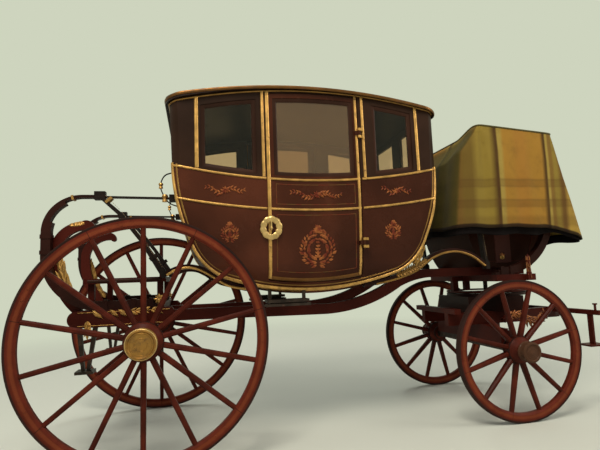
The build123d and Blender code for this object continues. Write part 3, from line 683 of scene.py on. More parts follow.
def copies_tree():
    """Geometry nodes that set one shape on every point, turned and sized as the point says."""
    tree = bpy.data.node_groups.get("Copies") or bpy.data.node_groups.new("Copies", "GeometryNodeTree")
    if tree.nodes:
        return tree
    face = tree.interface
    face.new_socket("Geometry", in_out="INPUT", socket_type="NodeSocketGeometry")
    face.new_socket("Shape", in_out="INPUT", socket_type="NodeSocketObject")
    face.new_socket("Size", in_out="INPUT", socket_type="NodeSocketFloat").default_value = 1.0
    face.new_socket("Spread", in_out="INPUT", socket_type="NodeSocketFloat")
    face.new_socket("Seed", in_out="INPUT", socket_type="NodeSocketInt")
    face.new_socket("Finish", in_out="INPUT", socket_type="NodeSocketMaterial")
    face.new_socket("Geometry", in_out="OUTPUT", socket_type="NodeSocketGeometry")

    def node(kind, **settings):
        made = tree.nodes.new(kind)
        for key, value in settings.items():
            setattr(made, key, value)
        return made

    given = node("NodeGroupInput")
    result = node("NodeGroupOutput")
    shape = node("GeometryNodeObjectInfo")
    turn = node("GeometryNodeInputNamedAttribute", data_type="FLOAT_VECTOR")
    turn.inputs["Name"].default_value = "turn"
    rotation = node("FunctionNodeEulerToRotation")
    size = node("GeometryNodeInputNamedAttribute", data_type="FLOAT_VECTOR")
    size.inputs["Name"].default_value = "size"
    chance = node("FunctionNodeRandomValue", data_type="FLOAT")
    low = node("ShaderNodeMath", operation="SUBTRACT")
    high = node("ShaderNodeMath", operation="ADD")
    times = node("ShaderNodeMath", operation="MULTIPLY")
    grow = node("ShaderNodeVectorMath", operation="SCALE")
    copy = node("GeometryNodeInstanceOnPoints")
    real = node("GeometryNodeRealizeInstances")
    paint = node("GeometryNodeSetMaterial")
    low.inputs[0].default_value = 1.0
    high.inputs[0].default_value = 1.0
    join = tree.links.new
    join(given.outputs["Shape"], shape.inputs["Object"])
    join(given.outputs["Spread"], low.inputs[1])
    join(given.outputs["Spread"], high.inputs[1])
    join(low.outputs[0], chance.inputs[2])
    join(high.outputs[0], chance.inputs[3])
    join(given.outputs["Seed"], chance.inputs["Seed"])
    join(chance.outputs[1], times.inputs[0])
    join(given.outputs["Size"], times.inputs[1])
    join(size.outputs[0], grow.inputs[0])
    join(times.outputs[0], grow.inputs["Scale"])
    join(turn.outputs[0], rotation.inputs[0])
    join(given.outputs["Geometry"], copy.inputs["Points"])
    join(shape.outputs["Geometry"], copy.inputs["Instance"])
    join(rotation.outputs[0], copy.inputs["Rotation"])
    join(grow.outputs[0], copy.inputs["Scale"])
    join(copy.outputs[0], real.inputs[0])
    join(real.outputs[0], paint.inputs["Geometry"])
    join(given.outputs["Finish"], paint.inputs["Material"])
    join(paint.outputs[0], result.inputs[0])
    return tree


def place(name, body, kind, spots, finish, size=1.0, spread=0.0, seed=1):
    """Copies a small shape to spots: each a point, its outward normal, its direction and its size."""
    points = bpy.data.meshes.new(name)
    points.from_pydata([tuple(s[0]) for s in spots], [], [])
    turns, sizes = [], []
    for _, normal, direction, scale in spots:
        up = Vector(normal).normalized()
        ahead = Vector(direction)
        ahead = (ahead - up * ahead.dot(up)).normalized()
        matrix = Matrix((ahead, up.cross(ahead), up)).transposed()
        turns += list(matrix.to_euler())
        sizes += list(scale) if hasattr(scale, "__len__") else [scale] * 3
    for label, values in (("turn", turns), ("size", sizes)):
        points.attributes.new(label, "FLOAT_VECTOR", "POINT").data.foreach_set("vector", values)
    holder = bpy.data.objects.new(name + "_points", points)
    bpy.context.scene.collection.objects.link(holder)
    shape = simple_shape(kind)
    bpy.context.scene.collection.objects.link(shape)
    tree = copies_tree()
    modifier = holder.modifiers.new("Copies", "NODES")
    modifier.node_group = tree
    keys = {item.name: item.identifier for item in tree.interface.items_tree if item.in_out == "INPUT"}
    for label, value in (
        ("Shape", shape), ("Size", size), ("Spread", spread), ("Seed", seed), ("Finish", finish),
    ):
        modifier[keys[label]] = value
    graph = bpy.context.evaluated_depsgraph_get()
    mesh = bpy.data.meshes.new_from_object(holder.evaluated_get(graph))
    mesh.name = name
    if not mesh.materials:
        mesh.materials.append(finish)
    piece = bpy.data.objects.new(name, mesh)
    for spare in (holder, shape):
        data = spare.data
        bpy.data.objects.remove(spare)
        bpy.data.meshes.remove(data)
    return settle(piece, body)


# The body's skin

def circle_through(a, b, c):
    """Centre and radius of the circle through three points of a plane."""
    (ax, ay), (bx, by), (cx, cy) = a, b, c
    d = 2 * (ax * (by - cy) + bx * (cy - ay) + cx * (ay - by))
    ux = (
        (ax * ax + ay * ay) * (by - cy) + (bx * bx + by * by) * (cy - ay) + (cx * cx + cy * cy) * (ay - by)
    ) / d
    uy = (
        (ax * ax + ay * ay) * (cx - bx) + (bx * bx + by * by) * (ax - cx) + (cx * cx + cy * cy) * (bx - ax)
    ) / d
    return ux, uy, math.hypot(ax - ux, ay - uy)


# heights at which the arcs of the body's section, and those of its ends, meet
SIDE_TOP, SIDE_LOW = 1.780, 1.210
END_TOP, END_TURN, END_FOOT = 1.850, 1.360, 1.115
WAIST = circle_through((0.645, SIDE_TOP), (0.637, 1.480), (0.606, SIDE_LOW))
BILGE = circle_through((0.606, SIDE_LOW), (0.555, 1.080), (0.430, 1.000))
END_HIGH = circle_through((0.940, END_TOP), (0.906, 1.590), (0.832, END_TURN))
END_LOW = circle_through((0.832, END_TURN), (0.752, 1.216), (0.620, END_FOOT))
KEEL = circle_through((-0.620, END_FOOT), (0, 1.010), (0.620, END_FOOT))
# the plan: half its length, half its width and its corners' radius
PLAN = (BODY_HALF - 0.002, 0.650, 0.110)


def on_circle(circle, v):
    """The outer coordinate of a circle at height v."""
    return circle[0] + math.sqrt(max(0, circle[2] ** 2 - (v - circle[1]) ** 2))


def half_width(z):
    """Half the body's width at a height."""
    if z > SIDE_TOP:
        return 0.645 - 0.013 * (z - SIDE_TOP) / 0.820
    return on_circle(WAIST if z > SIDE_LOW else BILGE, z)


def half_length(z):
    """Half the body's length at a height above its keel."""
    if z > END_TOP:
        return min(PLAN[0], 0.940 + 0.024 * (z - END_TOP) / 0.670)
    return on_circle(END_HIGH if z > END_TURN else END_LOW, max(z, END_FOOT + 0.001))


def arc(ends, x):
    """Height of an arc that runs the length of the body, at x from the body's middle."""
    end, middle = ends
    rise = abs(end - middle)
    radius = (1.0 + rise * rise) / (2 * rise)
    sag = radius - math.sqrt(radius * radius - x * x)
    return middle - math.copysign(sag, middle - end)


def side_y(x, z):
    """Distance of the body's side from the middle plane."""
    length, width, corner = PLAN
    over = abs(x) - (length - corner)
    limit = width if over <= 0 else width - corner + math.sqrt(max(1e-6, corner ** 2 - over ** 2))
    return min(half_width(z), limit)


def skin(x, z, side, lift=0.0):
    """A point on the body's side and its outward normal."""
    e = 0.004
    y = side_y(x, z)
    slope_x = (side_y(x + e, z) - side_y(x - e, z)) / (2 * e)
    slope_z = (side_y(x, z + e) - side_y(x, z - e)) / (2 * e)
    normal = np.array((-slope_x, 1.0, -slope_z))
    normal /= np.linalg.norm(normal)
    point = np.array((BODY_X + x, y, z)) + normal * lift
    return point * (1, side, 1), normal * (1, side, 1)


def round_corner(ends, end, side, steps=9):
    """Points and normals round one corner of the body on an arc, from its side to its end face."""
    length, width, corner = PLAN
    cx, cy = length - corner, width - corner
    points, normals = [], []
    for t in np.linspace(math.pi / 2, 0, steps):
        z = arc(ends, end * (cx + corner * math.cos(t)))
        sx, sy = math.cos(t), math.sin(t)
        limit_y = (half_width(z) - cy) / sy if sy > 0.05 else 9
        limit_x = (half_length(z) - cx) / sx if sx > 0.05 else 9
        reach = min(corner, limit_x, limit_y)
        points.append((BODY_X + end * (cx + reach * sx), side * (cy + reach * sy), z))
        normals.append((end * sx, side * sy, 0))
    return points, normals


def end_face(ends, end, steps=9):
    """Points and normals across one end face of the body, from the right to the left."""
    length, width, corner = PLAN
    z = arc(ends, end * length)
    across = np.linspace(corner - width, width - corner, steps)
    return [(BODY_X + end * half_length(z), y, z) for y in across], [(end, 0, 0)] * steps


def along_skin(shell, spots, side, section, taper=None):
    """A moulding through (x, z) places on the side."""
    pairs = [skin(x, z, side) for x, z in spots]
    shell.sweep([p for p, n in pairs], [n for p, n in pairs], section, taper=taper)


def along_side(shell, ends, x0, x1, side, section, offset=0.0):
    """A moulding along an arc of the side between two places."""
    spots = [(x, arc(ends, x) + offset) for x in np.linspace(x0, x1, 30)]
    along_skin(shell, spots, side, section)


def upright(shell, x, low, high, side, section, steps=16):
    """A moulding up the side between two heights."""
    along_skin(shell, [(x, z) for z in np.linspace(low, high, steps)], side, section)


def round_end(shell, ends, end, x_side, section, offset=0.0):
    """A moulding from one side, round the corners and across the end face to the other side."""
    shifted = (ends[0] + offset, ends[1] + offset)

    def half(side):
        xs = np.linspace(x_side, end * (PLAN[0] - PLAN[2]), 14)[:-1]
        pairs = [skin(x, arc(shifted, x), side) for x in xs]
        points, normals = round_corner(shifted, end, side)
        return [tuple(p) for p, n in pairs] + points, [tuple(n) for p, n in pairs] + normals

    right, left, face = half(-1), half(1), end_face(shifted, end)
    points = right[0] + face[0][1:-1] + left[0][::-1]
    normals = right[1] + face[1][1:-1] + left[1][::-1]
    shell.sweep(points, normals, section)


def low_edge(inset, top):
    """Places (x, z) down the rear edge of the side, along the keel and up the front edge."""
    right = []
    for t in np.linspace(0, 1, 40):
        z = top + (END_FOOT + 0.002 - top) * t ** 0.8
        right.append((half_length(z), z))
    keel = [(x, KEEL[1] - math.sqrt(KEEL[2] ** 2 - x * x)) for x in np.linspace(0.6, -0.6, 60)]
    path = right + keel + [(-x, z) for x, z in right[::-1]]
    path = np.array(path)[::-1]
    ahead = np.gradient(path, axis=0)
    ahead /= np.linalg.norm(ahead, axis=1)[:, None]
    inward = np.stack((-ahead[:, 1], ahead[:, 0]), 1)
    return path + inward * inset


# Operators

class COACH_OT_finishes(Operator):
    """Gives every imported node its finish"""
    bl_idname = "coach.finishes"
    bl_label = "Finishes"

    def execute(self, context):
        f = finishes()
        groups = {
            "iron": "hind_axle fore_axle king_pin hind_steps folding_steps",
            "carriage": (
                "hind_axle_bed hind_frame hind_platform hind_scrolls perches fore_transom "
                "fore_axle_bed futchells splinter_bar"
            ),
            "springs": "hind_springs front_springs body_loops turntable pole_jaw",
            "varnish": "body_lower door_right door_left",
            "upper": "body_upper",
            "glass": "side_glass",
            "door_glass": "door_glass_right door_glass_left",
            "roof": "roof",
            "lining": "seats",
            "upholstery": "seat_cushions",
            "gilt": "door_hinges",
            "leather": "braces check_straps",
            "boot": "boot box_seat",
            "cloth": "hammercloth",
        }
        table = {node: finish for finish, nodes in groups.items() for node in nodes.split()}
        for name, *_ in WHEELS:
            end = name.split("_")[0]
            table[name + "_tyre"] = "tyre"
            table[name + "_felloes"] = table[name + "_spokes"] = "wheel_" + end
            table[name + "_cap"] = "cap_" + end
        for name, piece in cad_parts.items():
            for held in piece.material_slots:
                held.material = f[table[name]]
        return {"FINISHED"}


def roof_rim(reach_x, reach_y, corner, drop):
    """Points and normals round the roof's swept edge, at drop below it."""
    middle, level, bend = circle_through(*ROOF_EDGE)
    loop = rounded_loop(reach_x, reach_y, corner, 10)
    points, normals = [], []
    for (x, y, turn), (next_x, next_y, _) in zip(loop, loop[1:] + loop[:1]):
        count = max(1, int(math.hypot(next_x - x, next_y - y) / 0.06))
        for k in range(count):
            px = x + (next_x - x) * (k / count)
            py = y + (next_y - y) * (k / count)
            points.append((BODY_X + px, py, level + math.sqrt(bend ** 2 - (px - middle) ** 2) - drop))
            normals.append((math.cos(turn), math.sin(turn), 0))
    return points, normals


class COACH_OT_mouldings(Operator):
    """Lays the gilt mouldings on the body, its doors and its roof edge"""
    bl_idname = "coach.mouldings"
    bl_label = "Gilt mouldings"

    def execute(self, context):
        s = context.scene.coach_sizes
        f = finishes()
        belt = half_round(s.belt_width, s.relief)
        hairline = half_round(0.005, 0.0012, 0.001)
        rear, front = DOOR
        body, thin, cornice, rim = (Shell() for _ in range(4))
        for ends in (BELT, LOWER_BELT):
            round_end(body, ends, -1, rear - 0.02, belt)
            round_end(body, ends, 1, front + 0.012, belt)
        for end in (-1, 1):
            round_end(cornice, EAVES, end, 0, half_round(0.014, 0.008), -0.009)
        cornice.object("cornice", "coach", "body_paint", f["gilt_dull"])
        for side, hand in SIDES.items():
            doors, fine, sill = Shell(), Shell(), Shell()
            for ends in (BELT, LOWER_BELT):
                along_side(doors, ends, rear + 0.006, front - 0.004, side, belt)
            # fine lines frame the door's two panels
            for ends, offset in ((BELT, -0.034), (LOWER_BELT, 0.034), (LOWER_BELT, -0.038), (SILL, 0.062)):
                along_side(fine, ends, rear + 0.046, front - 0.046, side, hairline, offset)
            for x in (rear + 0.046, front - 0.046):
                upright(fine, x, arc(SILL, x) + 0.062, arc(LOWER_BELT, x) - 0.038, side, hairline)
                upright(fine, x, arc(LOWER_BELT, x) + 0.034, arc(BELT, x) - 0.034, side, hairline)
            fine.object("door_lines_" + hand, hand + "_door", "body_paint", f["line"])
            along_side(sill, SILL, rear + 0.006, front - 0.004, side, half_round(0.030, 0.004), 0.013)
            sill.object("door_sill_" + hand, hand + "_door", "body_paint", f["gilt_brown"])
            # the door's beads go on above it to the cornice; the rear one laps over the gap behind it
            for end, shift, wide in ((rear, -0.002, 1.25), (front, -0.014, 1.0)):
                x = end + shift
                bead = half_round(s.pillar_bead * wide, s.relief)
                upright(doors, x, arc(SILL, end) + 0.01, arc(EAVES, end) - 0.04, side, bead, 26)
                upright(body, x, arc(EAVES, x) - 0.037, arc(EAVES, x) - 0.010, side, bead, 4)
            doors.object("door_gilt_" + hand, hand + "_door", "cap_brass", f["gilt"])
            for x, wide in ((rear - 0.035, 1.1), (front + 0.036, 1.1), (-0.782, 1.3), (0.795, 1.2)):
                bead = half_round(s.pillar_bead * wide, s.relief)
                upright(body, x, arc(BELT, x) + 0.01, arc(EAVES, x) - 0.010, side, bead)
            # the carved band round the lower edge is thick under the door, with a thin bead inside it
            edge = low_edge(0.004, 1.872)
            thick = []
            for x, z in edge:
                swell = 1.2 * math.exp(-(((x + 0.04) / 0.44) ** 2))
                thick.append(0.82 + swell + 0.18 * min(1.0, max(0.0, (z - 1.4) / 0.3)))
            along_skin(body, edge, side, oval(s.band_width / 2, 0.0095, 14), thick)
            inner = low_edge(0.029, 1.862)
            fade = [1.0 - 0.65 * math.exp(-((abs(x) - 0.72) / 0.16) ** 2) * (z < 1.5) for x, z in inner]
            along_skin(thin, inner, side, half_round(0.012, 0.003), fade)
        body.object("body_gilt", "coach", "cap_brass", f["gilt"])
        thin.object("body_inner_bead", "coach", "cap_brass", f["gilt_dull"])
        corner = 0.125
        points, normals = roof_rim(BODY_HALF + 0.020 - corner, 0.668 - corner, corner, 0.010)
        rim.sweep(points, normals, half_round(0.024, 0.006), closed=True)
        rim.object("roof_edge_gilt", "coach", "cap_brass", f["gilt_brown"])
        return {"FINISHED"}


def sash(shell, x0, x1, side, width):
    """A wooden sash round one side window."""
    y_in, y_out, lip = side * 0.614, side * 0.632, side * 0.623

    def loop(inset):
        xs = np.linspace(x0 + inset, x1 - inset, 18)
        low = [(x, arc(GLASS_LOW, x) + inset) for x in xs]
        high = [(x, arc(GLASS_TOP, x) - inset) for x in xs[::-1]]
        return low + high

    rings = []
    for (ox, oz), (ix, iz) in zip(loop(-0.002), loop(width)):
        mx, mz = ox + (ix - ox) * 0.55, oz + (iz - oz) * 0.55
        ring = ((ox, y_in, oz), (ox, y_out, oz), (mx, y_out, mz), (ix, lip, iz), (ix, y_in, iz))
        rings.append([(BODY_X + x, y, z) for x, y, z in ring])
    shell.loft(rings, True)


class COACH_OT_windows(Operator):
    """Fits the wooden sashes round the panes"""
    bl_idname = "coach.windows"
    bl_label = "Window sashes"

    def execute(self, context):
        s = context.scene.coach_sizes
        wood = finishes()["sash"]
        body = Shell()
        for side, hand in SIDES.items():
            for which in ("rear", "front"):
                sash(body, *WINDOWS[which], side, s.sash_width)
            doors = Shell()
            sash(doors, *WINDOWS["door"], side, s.sash_width)
            doors.object("door_sash_" + hand, hand + "_door", "body_paint", wood)
        # the two front lights
        inside, outside = BODY_X + BODY_HALF - 0.042, BODY_X + BODY_HALF - 0.018
        low, high, bar = 1.905, 2.262, 0.025
        for y0, y1 in ((-0.470, -0.060), (0.060, 0.470)):
            rings = []
            for y, z, dy, dz in (
                (y0, low, bar, bar), (y1, low, -bar, bar), (y1, high, -bar, -bar), (y0, high, bar, -bar),
            ):
                y_in, z_in = y + dy, z + dz
                rings.append([(inside, y, z), (outside, y, z), (outside, y_in, z_in), (inside, y_in, z_in)])
            body.loft(rings, True)
        body.object("body_sashes", "coach", "body_paint", wood)
        return {"FINISHED"}


class COACH_OT_handles(Operator):
    """Hangs a ring handle on each door"""
    bl_idname = "coach.handles"
    bl_label = "Ring handles"

    def execute(self, context):
        s = context.scene.coach_sizes
        x, z = DOOR[0] + 0.004, 1.432
        ahead = np.array((1.0, 0, 0))
        for side, hand in SIDES.items():
            centre, normal = skin(x, z, side, 0.016)
            base, _ = skin(x, z, side, -0.002)
            up = np.cross(normal, ahead) * side * -1
            up /= np.linalg.norm(up)
            shell = Shell()
            points, size = [], []
            for t in np.linspace(0, 2 * math.pi, 96, endpoint=False):
                points.append(centre + (ahead * math.cos(t) + up * math.sin(t) * 1.1) * s.ring_radius)
                size.append(0.82 + 0.24 * abs(math.sin(5 * t + 0.5)))
            shell.sweep(points, [normal] * 96, oval(0.021, 0.008, 10), closed=True, taper=size)
            # the boss, turned about the skin's normal
            rings = []
            for reach, radius in (
                (0, 0.014), (0.006, 0.014), (0.010, 0.011), (0.016, 0.009), (0.028, 0.009), (0.032, 0.005),
            ):
                middle = base + normal * reach
                rings.append([middle + ahead * a + up * b for a, b in oval(radius, radius, 20)])
            shell.loft(rings)
            stem = [centre + up * r for r in (-0.012, 0.012, 0.048)]
            shell.sweep(stem, [normal] * 3, half_round(0.013, 0.008))
            shell.object("ring_handle_" + hand, hand + "_door", "cap_brass", finishes()["gilt_pale"])
        return {"FINISHED"}


def garland(x, z, length, side, leaf):
    """Leaves of a painted garland along the side, with a rosette in its middle."""
    spots = []
    count = max(6, int(length / leaf * 1.7))
    for k in range(count):
        t = (k + 0.5) / count * 2 - 1
        gx = x + t * length / 2
        gz = z + 0.016 * math.sin(t * math.pi * 2) - 0.018 * (1 - t * t)
        for turn in (-1, 1):
            p, n = skin(gx, gz, side, 0.0006)
            lean = math.copysign(1, t) * math.cos(0.7), 0, turn * math.sin(0.7)
            spots.append((p, n, lean, leaf * (1.05 - 0.45 * abs(t))))
    for k in range(8):
        a = k * math.pi / 4
        p, n = skin(x, z - 0.014, side, 0.0012)
        spots.append((p, n, (math.cos(a), 0, math.sin(a)), leaf * 0.8))
    return spots


def wreath(x, z, radius, side, leaf):
    """Leaves of a round painted wreath, three deep, with a plant in it and a crest of leaves over it."""
    spots = []
    spread = 0.6

    def add(u, v, heading, size, lift):
        p, n = skin(x + u, z + v, side, lift)
        spots.append((p, n, (math.cos(heading), 0, math.sin(heading)), (size, size * 1.15, size * 0.5)))

    for row, reach in enumerate((0.80, 1.0, 1.16)):
        count = int(2 * math.pi * radius * reach / leaf * 1.35)
        for branch in (-1, 1):
            for k in range(count // 2):
                t = -math.pi / 2 + branch * (0.1 + (math.pi - 0.42) * k / (count // 2 - 1))
                size = leaf * (1.3 - 0.12 * row) * (0.85 + 0.25 * math.sin(k * 2.3 + row))
                heading = t + branch * (math.pi / 2 + spread * (1 - row))
                lift = 0.0011 if row == 1 else 0.0006
                add(radius * reach * math.cos(t), radius * reach * math.sin(t), heading, size, lift)
    for row in range(5):
        for lean in (-0.9, 0.0, 0.9):
            add(0, radius * (-0.62 + 0.26 * row), math.pi / 2 + lean, leaf * (0.95 - 0.1 * row), 0.0014)
    for row in range(3):
        rise, size = radius * (1.16 + 0.17 * row), leaf * (1.25 - 0.22 * row)
        for k in range(5):
            add(0, rise, math.pi * (0.14 + 0.18 * k), size, 0.0016)
    return spots


class COACH_OT_ornament(Operator):
    """Paints leaf wreaths and garlands on the panels"""
    bl_idname = "coach.ornament"
    bl_label = "Painted ornament"

    def execute(self, context):
        leaf = context.scene.coach_sizes.leaf_length
        paint = finishes()["leaf"]
        body = []
        for side, hand in SIDES.items():
            body += garland(-0.60, 1.70, 0.26, side, leaf)
            body += garland(0.61, 1.70, 0.22, side, leaf)
            body += wreath(-0.575, 1.40, 0.042, side, leaf * 0.62)
            body += wreath(0.575, 1.40, 0.042, side, leaf * 0.62)
            door = garland(0.02, 1.668, 0.36, side, leaf)
            door += wreath(0.022, 1.285, 0.094, side, leaf)
            name, moves = "door_ornament_" + hand, hand + "_door"
            place(name, moves, "leaf", door, paint, spread=0.2, seed=3)
        place("body_ornament", "coach", "leaf", body, paint, spread=0.12, seed=4)
        return {"FINISHED"}


class COACH_OT_wheels(Operator):
    """Adds the bolts, bands and hub work of the wheels"""
    bl_idname = "coach.wheels"
    bl_label = "Wheel work"

    def execute(self, context):
        s = context.scene.coach_sizes
        f = finishes()
        for name, x, y, radius, spokes, nave, cap in WHEELS:
            body = name + "_wheel"
            side = math.copysign(1, y)
            end = name.split("_")[0]
            centre = (x, 0, radius)
            # two bolts at each joint of the felloes, on both faces
            bolts = []
            bolt_circle = radius - 0.042
            for k in range(spokes // 2):
                for off in (-0.05, 0.05):
                    t = 2 * math.pi * k / (spokes // 2) + off / (radius / 0.75)
                    cx, cz = math.cos(t), math.sin(t)
                    for face in (-1, 1):
                        at = (x + bolt_circle * cx, y + face * 0.0225, radius + bolt_circle * cz)
                        bolts.append((at, (0, face, 0), (cx, 0, cz), (s.rivet, s.rivet, s.rivet * 0.7)))
            place(name + "_bolts", body, "bolt", bolts, f["wheel_" + end])
            hub = Shell()
            for along, r, wide in (
                (-0.112, nave - 0.034, 0.012), (-0.058, nave - 0.001, 0.014), (0.0, nave - 0.001, 0.014),
            ):
                a, b = y + side * along - wide / 2, y + side * along + wide / 2
                hub.turned([(a, r - 0.006), (a, r + 0.003), (b, r + 0.003), (b, r - 0.006)], centre, 48)
            hub.object(name + "_nave_bands", body, "tyre_iron", f["tyre"])
            # round rings on the cap's face, and a low dome in its middle
            face, lip = Shell(), Shell()
            base = y + side * 0.1285
            rings = (
                (lip, cap - 0.001, 0.0066, 0.016), (face, cap - 0.022, 0.004, 0.005),
                (face, cap * 0.42, 0.006, 0.007),
            )
            for shell, r, high, wide in rings:
                profile = []
                for t in np.linspace(0, math.pi, 8):
                    profile.append((base + side * (high * math.sin(t) - 0.003), r + wide / 2 * math.cos(t)))
                profile += [(base - side * 0.005, r - wide / 2), (base - side * 0.005, r + wide / 2)]
                shell.turned(profile, centre, 48)
            lip.object(
                name + "_cap_lip", body, "cap_brass", f["gilt_pale"] if end == "rear" else f["cap_" + end],
            )
            dome = (
                (-0.004, 0.0005), (-0.004, cap * 0.34), (0.003, cap * 0.33), (0.0055, cap * 0.2),
                (0.0062, 0.0005),
            )
            face.turned([(base + side * rise, r) for rise, r in dome], centre, 36)
            face.object(name + "_cap_rings", body, "cap_brass", f["cap_" + end])
        return {"FINISHED"}


def ring_of(shell, centre, along, up, half_w, half_h, length, thick):
    """A square clip round a bar: its centre, the bar's direction and flat side, and the clip's sizes."""
    centre, along, up = (np.asarray(v, float) for v in (centre, along, up))
    along = along / np.linalg.norm(along)
    across = np.cross(along, up)
    reach = along * length / 2
    rings = []
    for sx, sy in ((-1, -1), (1, -1), (1, 1), (-1, 1)):
        inner = centre + across * sx * half_w + up * sy * half_h
        outer = centre + across * sx * (half_w + thick) + up * sy * (half_h + thick)
        rings.append([inner - reach, outer - reach, outer + reach, inner + reach])
    shell.loft(rings, True)


class COACH_OT_springs(Operator):
    """Adds the clips and collars of the C-springs"""
    bl_idname = "coach.springs"
    bl_label = "Spring clips"

    def execute(self, context):
        f = finishes()
        clips, collars = Shell(), Shell()
        # half the width and half the thickness inside a clip, and the middle of a spring's leaves
        half, flat, deep = 0.031, 0.0295, 0.0285
        # the hind springs' foot and back, and how high they sit
        hind_foot, hind_z = HIND_AXLE - 0.285, 0.935
        hind_back = hind_foot - 0.355
        # the same for the fore springs, which face the other way
        fore_foot, fore_z = 1.26, 1.06
        fore_front = fore_foot + 0.47
        head, head_z = 0.242, 0.5
        collar_turns = (
            (hind_back + head, hind_z, 105, 0.2325, 0.0105, 0.014, 0.004),
            (fore_front - head, fore_z, 35, 0.223, 0.0195, 0.026, 0.006),
            (fore_front - head, fore_z, 80, 0.2325, 0.0105, 0.026, 0.006),
        )
        for side in SIDES:
            y = side * SPRING_Y
            for x in (hind_foot + 0.03, hind_foot + 0.20, hind_foot + 0.31):
                ring_of(clips, (x, y, hind_z + deep), (1, 0, 0), (0, 0, 1), half, flat, 0.03, 0.006)
            for z in (hind_z + 0.375, hind_z + 0.475):
                ring_of(clips, (hind_back + deep, y, z), (0, 0, 1), (-1, 0, 0), half, flat, 0.026, 0.003)
            for x in (fore_foot - 0.02, fore_foot + 0.06):
                ring_of(clips, (x, y, fore_z + deep), (1, 0, 0), (0, 0, 1), half, flat, 0.03, 0.006)
            for z in (fore_z + 0.475, fore_z + 0.497):
                ring_of(clips, (fore_front - deep, y, z), (0, 0, 1), (1, 0, 0), half, flat, 0.026, 0.006)
            for x, z, degrees, radius, thick, length, wall in collar_turns:
                t = math.radians(degrees)
                cx, cz = math.cos(t), math.sin(t)
                at = (x + radius * cx, y, z + head_z + radius * cz)
                ring_of(collars, at, (cz, 0, -cx), (cx, 0, cz), half, thick, length, wall)
        clips.object("spring_clips", "coach", "spring_paint", f["springs"], sharp=0.4)
        collars.object("spring_collars", "coach", "cap_brass", f["gilt_old"], sharp=0.4)
        return {"FINISHED"}


def spray(path, y, side, leaf, rows=(-0.7, 0.0, 0.7), thick=0.9):
    """Carved leaves that overlap along a path of (x, z) places on an upright face, larger in its middle."""
    path = np.asarray(path, float)
    lengths = np.concatenate(([0], np.cumsum(np.linalg.norm(np.diff(path, axis=0), axis=1))))
    count = max(3, int(lengths[-1] / (leaf * 0.42)))
    spots = []
    for k in range(count):
        at = lengths[-1] * k / count
        x, z = (np.interp(at, lengths, path[:, i]) for i in (0, 1))
        nx, nz = (np.interp(min(lengths[-1], at + leaf * 0.6), lengths, path[:, i]) for i in (0, 1))
        heading = math.atan2(nz - z, nx - x)
        swell = 0.72 + 0.42 * math.sin(math.pi * (k + 0.5) / count)
        for lean in rows:
            ahead = (math.cos(heading + lean), 0, math.sin(heading + lean))
            size = leaf * swell * (1.0 if lean == 0 else 0.82)
            spots.append(((x, side * y, z), (0, side, 0), ahead, (size, size * 0.8, size * thick)))
    return spots


def finial(shell, x, y, low, height, wide):
    """A turned knob standing on a beam."""
    outline = (
        (0, 0.0005), (0, 0.8), (0.08, 0.8), (0.14, 0.45), (0.3, 0.42), (0.44, 0.85), (0.62, 1.0), (0.8, 0.8),
        (0.88, 0.4), (0.94, 0.5), (1.0, 0.3), (1.01, 0.0005),
    )
    shell.turned([(a * height - 0.002, r * wide) for a, r in outline], (x, y, low), 24, "z")


